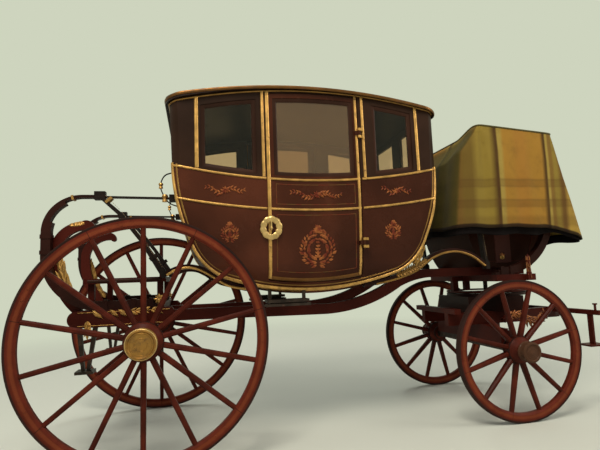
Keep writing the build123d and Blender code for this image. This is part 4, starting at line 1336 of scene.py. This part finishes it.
class COACH_OT_carving(Operator):
    """Sets the carved and gilt work on the carriage"""
    bl_idname = "coach.carving"
    bl_label = "Carved work"

    def execute(self, context):
        f = finishes()
        bright, dull, red = [], [], []
        lines, knobs, fore, edge, fore_edge, board = (Shell() for _ in range(6))
        # a body loop's lower edge, behind and in front
        loops = (
            (edge, (
                (-0.66, 1.020), (-0.86, 1.062), (-0.995, 1.146), (-1.055, 1.176), (-1.125, 1.187),
                (-1.195, 1.174), (-1.252, 1.142),
            )),
            (fore_edge, (
                (0.20, 1.028), (0.40, 1.072), (0.52, 1.115), (0.655, 1.204), (0.76, 1.240), (0.86, 1.247),
                (0.98, 1.212), (1.09, 1.134),
            )),
        )
        # the fore brackets' curve
        turn = np.linspace(0, 1, 26)
        bx = 1.27 + 0.36 * turn + 0.012 * np.sin(turn * 9)
        bz = 0.705 + 0.052 * np.sin(turn * 6.0) + 0.075 * turn ** 3
        for side in SIDES:
            out = (0, side, 0)
            face = side * (SPRING_Y + 0.035)
            # side beams of the hind frame: a row of slanting leaves, knobs on top and a boss
            for k in range(4):
                at = (-1.705 + k * 0.052, face - side * 0.002, 0.936)
                bright.append((at, out, (1, 0, -0.85), (0.078, 0.062, 0.08)))
            for x, size in ((-1.478, 0.05), (-1.447, 0.042), (-1.40, 0.05), (-1.352, 0.046), (-1.322, 0.05)):
                at = (x, face - side * 0.002, 0.922)
                for lean in (-0.5, 0.5):
                    bright.append((at, out, (1, 0, lean), (size, size * 0.8, size)))
            for x in (-1.47, -1.385):
                finial(knobs, x, side * 0.492, 0.934, 0.045, 0.016)
            finial(knobs, -1.302, side * 0.488, 0.934, 0.085, 0.028)
            for k in range(8):
                t = k * math.pi / 4
                bright.append(((-1.302, side * 0.510, 0.990), out, (math.cos(t), 0, math.sin(t)), 0.036))
            for z in (0.842, 0.924):
                path = [(x, face, z) for x in np.linspace(-1.79, -1.235, 20)]
                lines.sweep(path, [out] * 20, half_round(0.006, 0.003))
            bright += spray([(-1.732, 0.872), (-1.732, 0.79)], 0.514, side, 0.062, (-0.45, 0.0, 0.45))
            # hind scrolls: leaves up the inner edge and over the head
            inner = [(-1.800, 0.985), (-1.868, 1.075), (-1.912, 1.19), (-1.930, 1.29)]
            bright += spray(inner, 0.436, side, 0.10, (-0.38, 0.05), 0.5)
            bright += spray(
                [(-1.826, 0.975), (-1.896, 1.075), (-1.934, 1.17)], 0.437, side, 0.07, (0.0, 0.25), 0.5,
            )
            bright += spray([(-1.868, 1.488), (-1.79, 1.500)], 0.436, side, 0.046, (-0.3, 0.0, 0.3), 0.6)
            # footmen's board: a painted line along its edge
            along = np.linspace(-1.76, -1.30, 16)
            board.sweep([(x, side * 0.400, 1.119) for x in along], [out] * 16, half_round(0.020, 0.005))
            # body loops: a gilt line along the lower edge
            for shell, knots in loops:
                path = [(x, side * 0.522, z) for x, z in smooth_path(knots, 60)]
                shell.sweep(path, [out] * 60, half_round(0.017, 0.006))
            # carved leaves where the fore loops meet the body
            bright += spray(
                [(0.585, 1.300), (0.545, 1.225), (0.505, 1.165)], 0.534, side, 0.075, (-0.3, 0.3), 0.6,
            )
            low = [(0.36, 1.085), (0.44, 1.112), (0.53, 1.150), (0.60, 1.190)]
            dull += spray(low, 0.524, side, 0.05, (-0.75, 0.0, 0.75), 0.6)
            # fore carriage: scroll brackets with carved leaves
            path = [(x, side * 0.43, z) for x, z in zip(bx, bz)]
            fore.sweep(path, [out] * 26, oval(0.024, 0.024, 10), taper=1.0 - 0.6 * turn)
            red += spray(list(zip(bx[2:], bz[2:])), 0.452, side, 0.075, (-0.9, -0.2, 0.6))
        place("hind_carving", "coach", "leaf", bright, f["gilt"], spread=0.1, seed=7)
        place("dull_carving", "coach", "leaf", dull, f["gilt_dull"], spread=0.1, seed=8)
        place("fore_carving", "fore_carriage", "leaf", red, f["gilt_red"], spread=0.1, seed=9)
        lines.object("hind_gilt_lines", "coach", "cap_brass", f["gilt_dull"])
        board.object("board_edge", "coach", "carriage_paint", f["sash"])
        knobs.object("hind_knobs", "coach", "cap_brass", f["gilt"])
        edge.object("loop_gilt_hind", "coach", "cap_brass", f["gilt"])
        fore_edge.object("loop_gilt_fore", "coach", "cap_brass", f["gilt_dull"])
        fore.object("fore_brackets", "fore_carriage", "carriage_paint", f["carriage"])
        return {"FINISHED"}


class COACH_OT_holders(Operator):
    """Hangs the footmen's holding straps behind the body"""
    bl_idname = "coach.holders"
    bl_label = "Footmen's holders"

    def execute(self, context):
        f = finishes()
        straps, tassels = Shell(), Shell()
        knots = (
            (-1.196, 1.835), (-1.262, 1.810), (-1.290, 1.742), (-1.268, 1.670), (-1.232, 1.622),
            (-1.180, 1.600),
        )
        outline = (
            (-1.5, 0.0005), (-1.45, 0.9), (-0.5, 0.72), (-0.4, 0.5), (-0.2, 0.8), (0.3, 1.0), (0.8, 0.8),
            (1.0, 0.35), (1.02, 0.0005),
        )
        for side in SIDES:
            y = side * 0.50
            path = [(x, y, z) for x, z in smooth_path(knots, 40)]
            straps.sweep(path, [(0, side, 0)] * 40, oval(0.004, 0.012, 10))
            for x, z, size in ((-1.288, 1.745, 0.016), (-1.262, 1.662, 0.021)):
                tassels.turned([(a * size, r * size) for a, r in outline], (x, y, z), 18, "z")
        straps.object("holder_straps", "coach", "strap_leather", f["leather"])
        tassels.object("holder_tassels", "coach", "cap_brass", f["gilt"])
        return {"FINISHED"}


class COACH_OT_straps(Operator):
    """Stitches the leather braces and straps"""
    bl_idname = "coach.straps"
    bl_label = "Brace stitching"

    def execute(self, context):
        s = context.scene.coach_sizes
        f = finishes()
        # the braces' lines, from the axle above and from this height
        base_z = 0.83
        rear = ((-0.262, 0.845), (-0.160, 0.738), (-0.030, 0.555), (0.100, 0.360))
        front = ((-0.158, 0.93), (-0.160, 0.67), (-0.124, 0.36))
        pitch = s.stitch * 1.5
        stitches = []
        buckles, dark = Shell(), Shell()
        for side in SIDES:
            y = side * SPRING_Y
            for axle, line in ((HIND_AXLE, rear), (FORE_AXLE, front)):
                for (xa, za), (xb, zb) in zip(line, line[1:]):
                    length = math.hypot(xb - xa, zb - za)
                    for k in range(int(length / pitch)):
                        t = (k + 0.5) / (length / pitch)
                        at = (axle + xa + (xb - xa) * t, y + side * 0.0262, base_z + za + (zb - za) * t)
                        stitches.append((at, (0, side, 0), (xb - xa, 0, zb - za), s.stitch))
            at = (HIND_AXLE - 0.24, y, base_z + 0.815)
            ring_of(buckles, at, (0.68, 0, -0.73), (0.73, 0, 0.68), 0.027, 0.02, 0.018, 0.005)
            at = (HIND_AXLE + 0.04, y, base_z + 0.435)
            ring_of(dark, at, (0.57, 0, -0.82), (0.82, 0, 0.57), 0.027, 0.026, 0.024, 0.004)
            at = (FORE_AXLE - 0.163, y, base_z + 0.80)
            ring_of(buckles, at, (0, 0, 1), (1, 0, 0), 0.027, 0.02, 0.045, 0.006)
        place("brace_stitches", "coach", "stitch", stitches, f["thread"])
        buckles.object("brace_buckles", "coach", "cap_brass", f["gilt_old"], sharp=0.4)
        dark.object("brace_loops", "coach", "strap_leather", f["leather"], sharp=0.4)
        return {"FINISHED"}


def cloth_rest(piece, held, cap, pressure, gravity, frames=20):
    """Where the cloth solver takes a piece's points, none further than cap from where it was."""
    scene = bpy.context.scene
    count = len(piece.data.vertices)
    start = np.empty(count * 3)
    piece.data.vertices.foreach_get("co", start)
    twin = bpy.data.objects.new(piece.name + "_trial", piece.data.copy())
    scene.collection.objects.link(twin)
    cloth = twin.modifiers.new("Cloth", "CLOTH")
    if held:
        group = twin.vertex_groups.new(name="held")
        group.add(held, 1.0, "REPLACE")
        cloth.settings.vertex_group_mass = "held"
    cloth.settings.quality = 6
    cloth.settings.mass = 0.3
    cloth.settings.use_pressure = pressure != 0
    cloth.settings.uniform_pressure_force = pressure
    cloth.settings.effector_weights.gravity = gravity
    cloth.point_cache.frame_start, cloth.point_cache.frame_end = 1, frames
    for frame_number in range(1, frames + 1):
        scene.frame_set(frame_number)
    result = twin.evaluated_get(bpy.context.evaluated_depsgraph_get()).to_mesh()
    end = np.empty(count * 3)
    result.vertices.foreach_get("co", end)
    moved = (end - start).reshape(-1, 3)
    reach = np.linalg.norm(moved, axis=1)
    moved *= np.minimum(1.0, cap / np.maximum(reach, 1e-9))[:, None]
    data = twin.data
    bpy.data.objects.remove(twin)
    bpy.data.meshes.remove(data)
    scene.frame_set(1)
    return start + moved.ravel()


def pad_mesh(low, high):
    """A seat cushion's first shape: a crowned block whose sides pull in between its corners."""
    nx, ny = 26, 60
    lx, ly, lz = (h - l for l, h in zip(low, high))

    def top(u, v):
        """A point of the pad's top, from its rear right corner by shares of its length and width."""
        end, flank = abs(2 * u - 1), abs(2 * v - 1)
        crown = (1 - end ** 3.2) * (1 - flank ** 5)
        pinch = 0.010 * (1 - end ** 2) * flank ** 8 + 0.010 * (1 - flank ** 2) * end ** 8
        x = low[0] + lx * u + pinch * (1 if u < 0.5 else -1) * end ** 8
        return x, low[1] + ly * v, low[2] + lz * (0.42 + 0.58 * crown)

    points = [top(i / nx, j / ny) for i in range(nx + 1) for j in range(ny + 1)]
    points += [(x, y, low[2]) for x, y, _ in points]
    faces = []
    half = (nx + 1) * (ny + 1)
    for i in range(nx):
        for j in range(ny):
            a = i * (ny + 1) + j
            faces.append([a, a + ny + 1, a + ny + 2, a + 1])
            faces.append([half + a, half + a + 1, half + a + ny + 2, half + a + ny + 1])
    border = [i * (ny + 1) for i in range(nx + 1)] + [nx * (ny + 1) + j for j in range(1, ny + 1)]
    border += [i * (ny + 1) + ny for i in range(nx - 1, -1, -1)] + [j for j in range(ny - 1, 0, -1)]
    for a, b in zip(border, border[1:] + border[:1]):
        faces.append([a, b, half + b, half + a])
    shell = Shell()
    shell.add(points, faces)
    return shell


class COACH_OT_cushions(Operator):
    """Puts a padded cushion with piped edges on each seat"""
    bl_idname = "coach.cushions"
    bl_label = "Seat cushions"

    def execute(self, context):
        f = finishes()
        low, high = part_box("seat_cushions")
        depth, inset, voxel = 0.385, 0.012, 0.009
        for name, x0, x1 in (("rear", low.x, low.x + depth), ("front", high.x - depth, high.x)):
            pad = pad_mesh(
                (x0 + inset, low.y + inset, low.z + 0.006), (x1 - inset, high.y - inset, high.z - 0.008),
            )
            piece = pad.object("seat_pad_" + name, "coach", "seat_cloth", f["upholstery"], sharp=3.1)
            fine = piece.modifiers.new("Remesh", "REMESH")
            fine.mode = "VOXEL"
            fine.voxel_size = voxel
            mesh = bpy.data.meshes.new_from_object(piece.evaluated_get(context.evaluated_depsgraph_get()))
            piece.modifiers.clear()
            mesh.name = piece.name
            piece.data = mesh
            if not mesh.materials:
                mesh.materials.append(f["upholstery"])
            points = cloth_rest(piece, [], 0.008, 4.0, 0.0).reshape(-1, 3)
            points[:, 2] = np.maximum(points[:, 2], low.z + 0.0008)
            mesh.vertices.foreach_set("co", points.ravel())
            mesh.update()
            settle(piece, "coach", 3.1)
            smooth = piece.modifiers.new("Smooth", "SUBSURF")
            smooth.levels = smooth.render_levels = 1
            piping = Shell()
            corner, edge = 0.022, 0.034
            ring = rounded_loop((x1 - x0) / 2 - edge, high.y - edge, corner, 7)
            path = [((x0 + x1) / 2 + x, y, low.z + 0.046) for x, y, _ in ring]
            piping.sweep(path, [(0, 0, 1)] * len(path), oval(0.0045, 0.0045, 8), closed=True)
            piping.object("seat_piping_" + name, "coach", "seat_cloth", f["thread"])
        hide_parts("seat_cushions")
        return {"FINISHED"}


# the hammercloth's rear and front edges: depth from the top edge to the hem, and x
REAR_EDGE = ((0.0, 1.095), (0.169, 0.985), (0.265, 0.915), (1.0, 0.805))
FRONT_EDGE = ((0.0, 1.805), (1.0, 1.970))
SEAT_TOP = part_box("box_seat")[1].z
SEAT_MIDDLE = 1.45


def between(value, low, high):
    """0 at low and below, 1 at high and above, straight between."""
    return min(1.0, max(0.0, (value - low) / (high - low)))


def dish(y):
    """How deep the cloth's top is dished at y: 1 over the middle of the seat, 0 at its raised sides."""
    edge = between(abs(y), 0.26, 0.48)
    return 1 - edge * edge * (3 - 2 * edge)


def cloth_top(x, y):
    """Height of the cloth over the seat, dished between its raised sides and clear of the seat board."""
    return max(SEAT_TOP + 0.009, 2.240 - 0.060 * (x - 1.095) / 0.710 - 0.066 * dish(y))


def cloth_point(t, angle):
    """A point of the hammercloth's side, its outward normal and the height of the hem under it.

    t: depth from the top edge, 1 at the hem.
    angle: the way round the seat, 0 in front.
    """
    cx, sy = math.cos(angle), math.sin(angle)
    power = 18.0
    scale = (abs(cx) ** power + abs(sy) ** power) ** (-1 / power)
    rear = np.interp(t, *zip(*REAR_EDGE)) + 0.011 - 0.030 * dish(0.524 * sy * scale) * max(0.0, 1 - t / 0.3)
    front = np.interp(t, *zip(*FRONT_EDGE)) - 0.011
    x = (rear + front) / 2 + (front - rear) / 2 * cx * scale
    if x < 1.585:
        hem = 1.420 - 0.008 * max(0, x - 0.805) / 0.780
    else:
        hem = 1.412 - 0.102 * (x - 1.585) / 0.385
    hem += 0.005 * math.sin(11 * angle + 0.8)
    top = cloth_top(min(1.795, max(1.105, x)), 0.524 * sy * scale)
    z = top + (hem + 0.002 - top) * t
    wide = float(np.interp(z, [1.20, 1.42, 2.29], [0.628, 0.606, 0.535])) - 0.011
    normal = np.array((cx ** 3, sy ** 3, 0.12))
    return np.array((x, wide * sy * scale, z)), normal / np.linalg.norm(normal), hem


def cloth_wave(t, angle):
    """How far the folds stand out at depth t and round the seat by angle, from -1 to 1."""
    broad = math.sin(angle * 7 + 2.4 * t) * 0.35
    return math.sin(angle * 13 + 0.6) * 0.5 + math.sin(angle * 23 + 1.9) * 0.3 + broad


def tube_faces(rows, around):
    """Faces between rings of points, each ring under the one before."""
    faces = []
    for row in range(rows):
        for k in range(around):
            a, b = row * around + k, row * around + (k + 1) % around
            faces.append((a, a + around, b + around, b))
    return faces


def hang(name, mesh, finish, thickness):
    """Makes a sheet of cloth that lies on the box seat, and gives it a thickness inward."""
    mesh.materials.append(finish)
    piece = settle(bpy.data.objects.new(name, mesh), "coach", 1.0)
    solid = piece.modifiers.new("Thickness", "SOLIDIFY")
    solid.thickness = thickness
    solid.offset = -1
    return piece


def cloth_angles(around):
    """Angles round the seat, closer together at its corners."""
    angles = []
    for k in range(around):
        corner = math.floor(k / around * 4)
        u = k / around * 4 - corner
        angles.append(
            (corner + 0.35 * u + 0.65 * (1 - math.cos(math.pi * u)) / 2) * math.pi / 2 + math.pi / 4
        )
    return angles


def lining_mesh(angles, rows, fold):
    """The dark lining that shows below the hem, and follows the cloth's folds there."""
    points = []
    for row in range(rows + 1):
        for angle in angles:
            p, n, hem = cloth_point(1.0, angle)
            wave = fold * cloth_wave(1.0, angle)
            inward = np.array((SEAT_MIDDLE, 0, p[2])) - p
            q = p + inward * (0.030 / np.linalg.norm(inward)) + n * wave
            fall = 0.050 - 0.036 * between(p[0], 1.56, 1.70)
            drop = 0.052 - (0.052 + fall) * row / rows
            points.append((q[0], q[1], hem + drop + 0.003 * math.sin(angle * 11)))
    mesh = bpy.data.meshes.new("hammercloth_lining")
    mesh.from_pydata(points, [], tube_faces(rows, len(angles)))
    if mesh.polygons[0].normal.dot(mesh.vertices[0].co - Vector((SEAT_MIDDLE, 0, 1.4))) < 0:
        mesh.flip_normals()
    return mesh


class COACH_OT_hammercloth(Operator):
    """Drapes the hammercloth over the box seat"""
    bl_idname = "coach.hammercloth"
    bl_label = "Hammercloth"

    def execute(self, context):
        s = context.scene.coach_sizes
        f = finishes()
        around, down, over = 240, 46, 14
        angles = cloth_angles(around)
        points, uvs, rises, rear_shades = [], [], [], []
        for row in range(over + down + 1):
            on_top = row < over
            t = max(0, row - over) / down
            for angle in angles:
                p, n, hem = cloth_point(t, angle)
                if on_top:
                    share = (row + 0.35) / (over + 0.35)
                    centre = np.array((SEAT_MIDDLE, 0, 2.21))
                    q = centre + (p - centre) * share
                    q[2] = cloth_top(q[0], q[1]) + 0.007 * (1 - share ** 8)
                else:
                    q = p + n * (s.cloth_fold * cloth_wave(t, angle) * min(1, t * 1.6))
                on_side = abs(math.sin(angle)) > abs(math.cos(angle))
                points.append(tuple(q))
                # the stripes run up the sides and over the top, and lean with the front edge
                uvs.append((q[0] - 0.09 * (q[2] - 1.79) if on_side or on_top else 1.42 + q[1], q[2]))
                rises.append(0.5 if on_top else max(0.0, q[2] - hem))
                # painted shade: marks the cloth's rear face below its top, which the finish darkens to olive
                rear_shades.append(between(-math.cos(angle), 0.70, 0.72) * min(1.0, t * 14))
        mesh = bpy.data.meshes.new("hammercloth_drape")
        mesh.from_pydata(points, [], tube_faces(over + down, around) + [tuple(range(around))])
        layer = mesh.uv_layers.new(name="cloth")
        for loop in mesh.loops:
            layer.data[loop.index].uv = uvs[loop.vertex_index]
        for label, values in (("rise", rises), ("sheltered", rear_shades)):
            mesh.attributes.new(label, "FLOAT", "POINT").data.foreach_set("value", values)
        bm = bmesh.new()
        bm.from_mesh(mesh)
        bmesh.ops.recalc_face_normals(bm, faces=bm.faces)
        if sum(v.normal.z for v in bm.verts if v.co.z > 2.2) < 0:
            bmesh.ops.reverse_faces(bm, faces=bm.faces)
        bm.to_mesh(mesh)
        bm.free()
        piece = hang("hammercloth_drape", mesh, f["cloth"], s.cloth_thick)
        # the cloth's top and its first three rows down stay where they are
        held = list(range((over + 3) * around))
        mesh.vertices.foreach_set("co", cloth_rest(piece, held, 0.009, 0.6, 0.5))
        mesh.update()
        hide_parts("hammercloth")
        welt = Shell()
        rim = [cloth_point(0.0, angle)[0] + (0, 0, 0.003) for angle in angles]
        welt.sweep(rim, [(0, 0, 1)] * around, oval(0.007, 0.007, 8), closed=True)
        seam = welt.object("hammercloth_welt", "coach", "hammer_cloth", f["welt"], sharp=3.1)
        mesh = lining_mesh(angles, 6, s.cloth_fold)
        lining = hang("hammercloth_lining", mesh, f["lining_dark"], 0.003)
        return {"FINISHED"}


class COACH_OT_boot(Operator):
    """Panels and fittings of the coachman's boot"""
    bl_idname = "coach.boot"
    bl_label = "Boot fittings"

    def execute(self, context):
        f = finishes()
        panels, rims, fittings, post = (Shell() for _ in range(4))
        leaves = []
        # a round fitting's and a post's outline, in (distance, radius)
        socket = (
            (0.0, 0.0005), (0.0, 0.022), (0.010, 0.020), (0.013, 0.010), (0.026, 0.009), (0.030, 0.0005),
        )
        outline = (
            (0, 0.0005), (0, 0.020), (0.02, 0.020), (0.035, 0.013), (0.07, 0.016), (0.11, 0.018),
            (0.13, 0.012), (0.14, 0.009), (0.16, 0.002), (0.161, 0.0005),
        )
        border = ((1.205, 1.165, 1, 1), (1.590, 1.165, -1, 1), (1.672, 1.44, -1, -1), (1.122, 1.44, 1, -1))
        for side in SIDES:
            face, sunk = side * 0.360, side * 0.358
            # raised panels with sloping edges
            for x0, x1, z0, z1 in ((1.292, 1.440, 1.150, 1.400), (1.165, 1.185, 1.190, 1.400)):
                slope, y = 0.006, face + side * 0.006
                low = [(x, sunk, z) for x, z in ((x0, z0), (x1, z0), (x1, z1), (x0, z1))]
                x0, x1, z0, z1 = x0 + slope, x1 - slope, z0 + slope, z1 - slope
                panels.loft([low, [(x, y, z) for x, z in ((x0, z0), (x1, z0), (x1, z1), (x0, z1))]])
            # a painted line round the boot's side
            rings = []
            for x, z, dx, dz in border:
                x_in, z_in, y = x + dx * 0.005, z + dz * 0.005, face + side * 0.003
                rings.append([(x, sunk, z), (x, y, z), (x_in, y, z_in), (x_in, sunk, z_in)])
            rims.loft(rings, True)
            fittings.turned([(face + side * v, r) for v, r in socket], (1.352, 0, 1.200), 20)
            leaves += spray([(1.352, 1.185), (1.352, 1.225)], 0.368, side, 0.034, (-0.8, 0.0, 0.8))
            # a carved post stands on a bracket at the transom's end
            x, y = 1.452, side * 0.538
            near, far = sorted((side * 0.519, side * 0.558))
            post.block((1.428, near, 1.014), (1.476, far, 1.054))
            post.turned(outline, (x, y, 1.052), 24, "z")
            for z, size in ((1.018, 0.045), (1.060, 0.06), (1.105, 0.055), (1.150, 0.05)):
                on_post = z > 1.05
                for k in range(6):
                    nx, ny = math.cos(k * math.pi / 3), math.sin(k * math.pi / 3)
                    if on_post or ny * side > 0.5:
                        at = (x + 0.013 * nx, y + (0.013 if on_post else 0.019) * ny, z)
                        lean = (0.3 * math.sin(k), 0, 1)
                        leaves.append((at, (nx, ny, 0), lean, (size, size * 0.6, size * 0.6)))
        panels.object("boot_panels", "coach", "boot_paint", f["panel"])
        rims.object("boot_panel_lines", "coach", "boot_paint", f["carriage"])
        fittings.object("boot_fittings", "coach", "cap_brass", f["gilt_old"])
        post.object("boot_posts", "coach", "carriage_paint", f["carriage"])
        place("boot_carving", "coach", "leaf", leaves, f["gilt_red"], spread=0.15, seed=11)
        return {"FINISHED"}


class COACH_OT_stage(Operator):
    """Sets the floor, the light and the camera"""
    bl_idname = "coach.stage"
    bl_label = "Stage"

    def execute(self, context):
        scene = context.scene
        c = scene.coach_colours
        reach = 30
        mesh = bpy.data.meshes.new("floor")
        mesh.from_pydata(
            [(x * reach, y * reach, 0) for x, y in ((-1, -1), (1, -1), (1, 1), (-1, 1))], [], [(0, 1, 2, 3)],
        )
        floor = bpy.data.objects.new("floor", mesh)
        scene.collection.objects.link(floor)
        f = Finish("pale_floor", Specular_IOR_Level=0.3)
        cloud = f.noise(0.7, 3)
        grain = f.noise(24, 4, 0.6)
        tone = f.mix(cloud, toned(c.floor, 0.94), tuple(c.floor))
        mesh.materials.append(f.set(Base_Color=tone, Roughness=0.55 + grain * 0.15))
        x, y, _ = f.split(f.place)
        ray = "ShaderNodeLightPath"
        # far from the coach, camera, glossy and transmission rays see the plain background
        seen = f.math("MAXIMUM", f.math("MAXIMUM", f.node(ray), f.node(ray, out=6)), f.node(ray, out=3))
        far = f.math("SQRT", x * x + y * y).step(3.6, 9.0) * seen
        air = f.tree.nodes.new("ShaderNodeEmission")
        air.inputs[0].default_value = (*BACKGROUND, 1)
        both = f.tree.nodes.new("ShaderNodeMixShader")
        f.fill(both, {0: far, 1: f.shader.outputs[0], 2: air.outputs[0]})
        f.tree.links.new(both.outputs[0], f.end.inputs[0])

        world = bpy.data.worlds.new("soft_light")
        scene.world = world
        world.use_nodes = True
        tree = world.node_tree
        tree.nodes.clear()

        def add(kind, *sockets):
            node = tree.nodes.new("ShaderNode" + kind)
            for number, value in enumerate(sockets):
                if isinstance(value, bpy.types.NodeSocket):
                    tree.links.new(value, node.inputs[number])
                else:
                    node.inputs[number].default_value = value
            return node

        rays = add("LightPath").outputs
        seen = add("Math", rays["Is Camera Ray"], rays["Is Transmission Ray"])
        also = add("Math", seen.outputs[0], rays["Is Glossy Ray"])
        seen.operation = also.operation = "MAXIMUM"
        light = add("Background", (1, 0.98, 0.94, 1), 0.42)
        pale = add("Background", (*BACKGROUND, 1), 1.0)
        both = add("MixShader", also.outputs[0], light.outputs[0], pale.outputs[0])
        add("OutputWorld", both.outputs[0])

        for name, spot, aim, power, tint in (
            ("key", (-2.2, -4.4, 7.2), (0, 0, 1.0), 420, (1, 0.93, 0.82)),
            ("fill", (6.5, -4.0, 5.0), (0.8, 0, 1.0), 170, (1, 0.94, 0.84)),
            ("back", (0, 5.5, 8.0), (0, 0, 1.0), 160, (0.96, 1, 0.92)),
        ):
            lamp = bpy.data.lights.new(name, "AREA")
            lamp.shape = "SQUARE"
            lamp.size = 3.0
            lamp.energy = power
            lamp.color = tint
            holder = bpy.data.objects.new(name, lamp)
            holder.location = spot
            holder.rotation_euler = (Vector(aim) - Vector(spot)).to_track_quat("-Z", "Y").to_euler()
            scene.collection.objects.link(holder)

        # the camera: focal length in pixels of the photograph's 600, and its place and angles, solved
        data = bpy.data.cameras.new("camera")
        data.sensor_width = 36
        data.lens = 466 / 600 * data.sensor_width
        camera = bpy.data.objects.new("camera", data)
        yaw, pitch, roll = (math.radians(v) for v in (12.5735, 6.2377, -2.0772))
        ahead = Vector((math.sin(yaw) * math.cos(pitch), math.cos(yaw) * math.cos(pitch), math.sin(pitch)))
        right = Vector((math.cos(yaw), -math.sin(yaw), 0))
        up = right.cross(ahead)
        level = right * math.cos(roll) + up * math.sin(roll)
        lean = up * math.cos(roll) - right * math.sin(roll)
        matrix = Matrix((level, lean, -ahead)).transposed().to_4x4()
        matrix.translation = Vector((-1.0565, -3.7029, 1.1061))
        camera.matrix_world = matrix
        scene.collection.objects.link(camera)
        scene.camera = camera
        scene.view_settings.view_transform = "Standard"
        return {"FINISHED"}


STEPS = (
    COACH_OT_stage,
    COACH_OT_finishes,
    COACH_OT_mouldings,
    COACH_OT_windows,
    COACH_OT_handles,
    COACH_OT_ornament,
    COACH_OT_wheels,
    COACH_OT_springs,
    COACH_OT_carving,
    COACH_OT_holders,
    COACH_OT_straps,
    COACH_OT_cushions,
    COACH_OT_hammercloth,
    COACH_OT_boot,
)


class COACH_PT_panel(Panel):
    """Lists the coach's pieces"""
    bl_label = "Coach"
    bl_idname = "COACH_PT_panel"
    bl_space_type = "VIEW_3D"
    bl_region_type = "UI"
    bl_category = "Coach"

    def draw(self, context):
        for step in STEPS:
            self.layout.operator(step.bl_idname)
        for group in (context.scene.coach_sizes, context.scene.coach_colours):
            for key in group.bl_rna.properties.keys():
                if key not in ("rna_type", "name"):
                    self.layout.prop(group, key)


CLASSES = (CoachSizes, CoachColours, *STEPS, COACH_PT_panel)


def register():
    for item in CLASSES:
        bpy.utils.register_class(item)
    bpy.types.Scene.coach_sizes = PointerProperty(type=CoachSizes)
    bpy.types.Scene.coach_colours = PointerProperty(type=CoachColours)


def unregister():
    del bpy.types.Scene.coach_colours
    del bpy.types.Scene.coach_sizes
    for item in reversed(CLASSES):
        bpy.utils.unregister_class(item)


def main():
    """Builds every piece in order."""
    register()
    for step in STEPS:
        group, name = step.bl_idname.split(".")
        getattr(getattr(bpy.ops, group), name)()


if __name__ == "__main__":
    main()
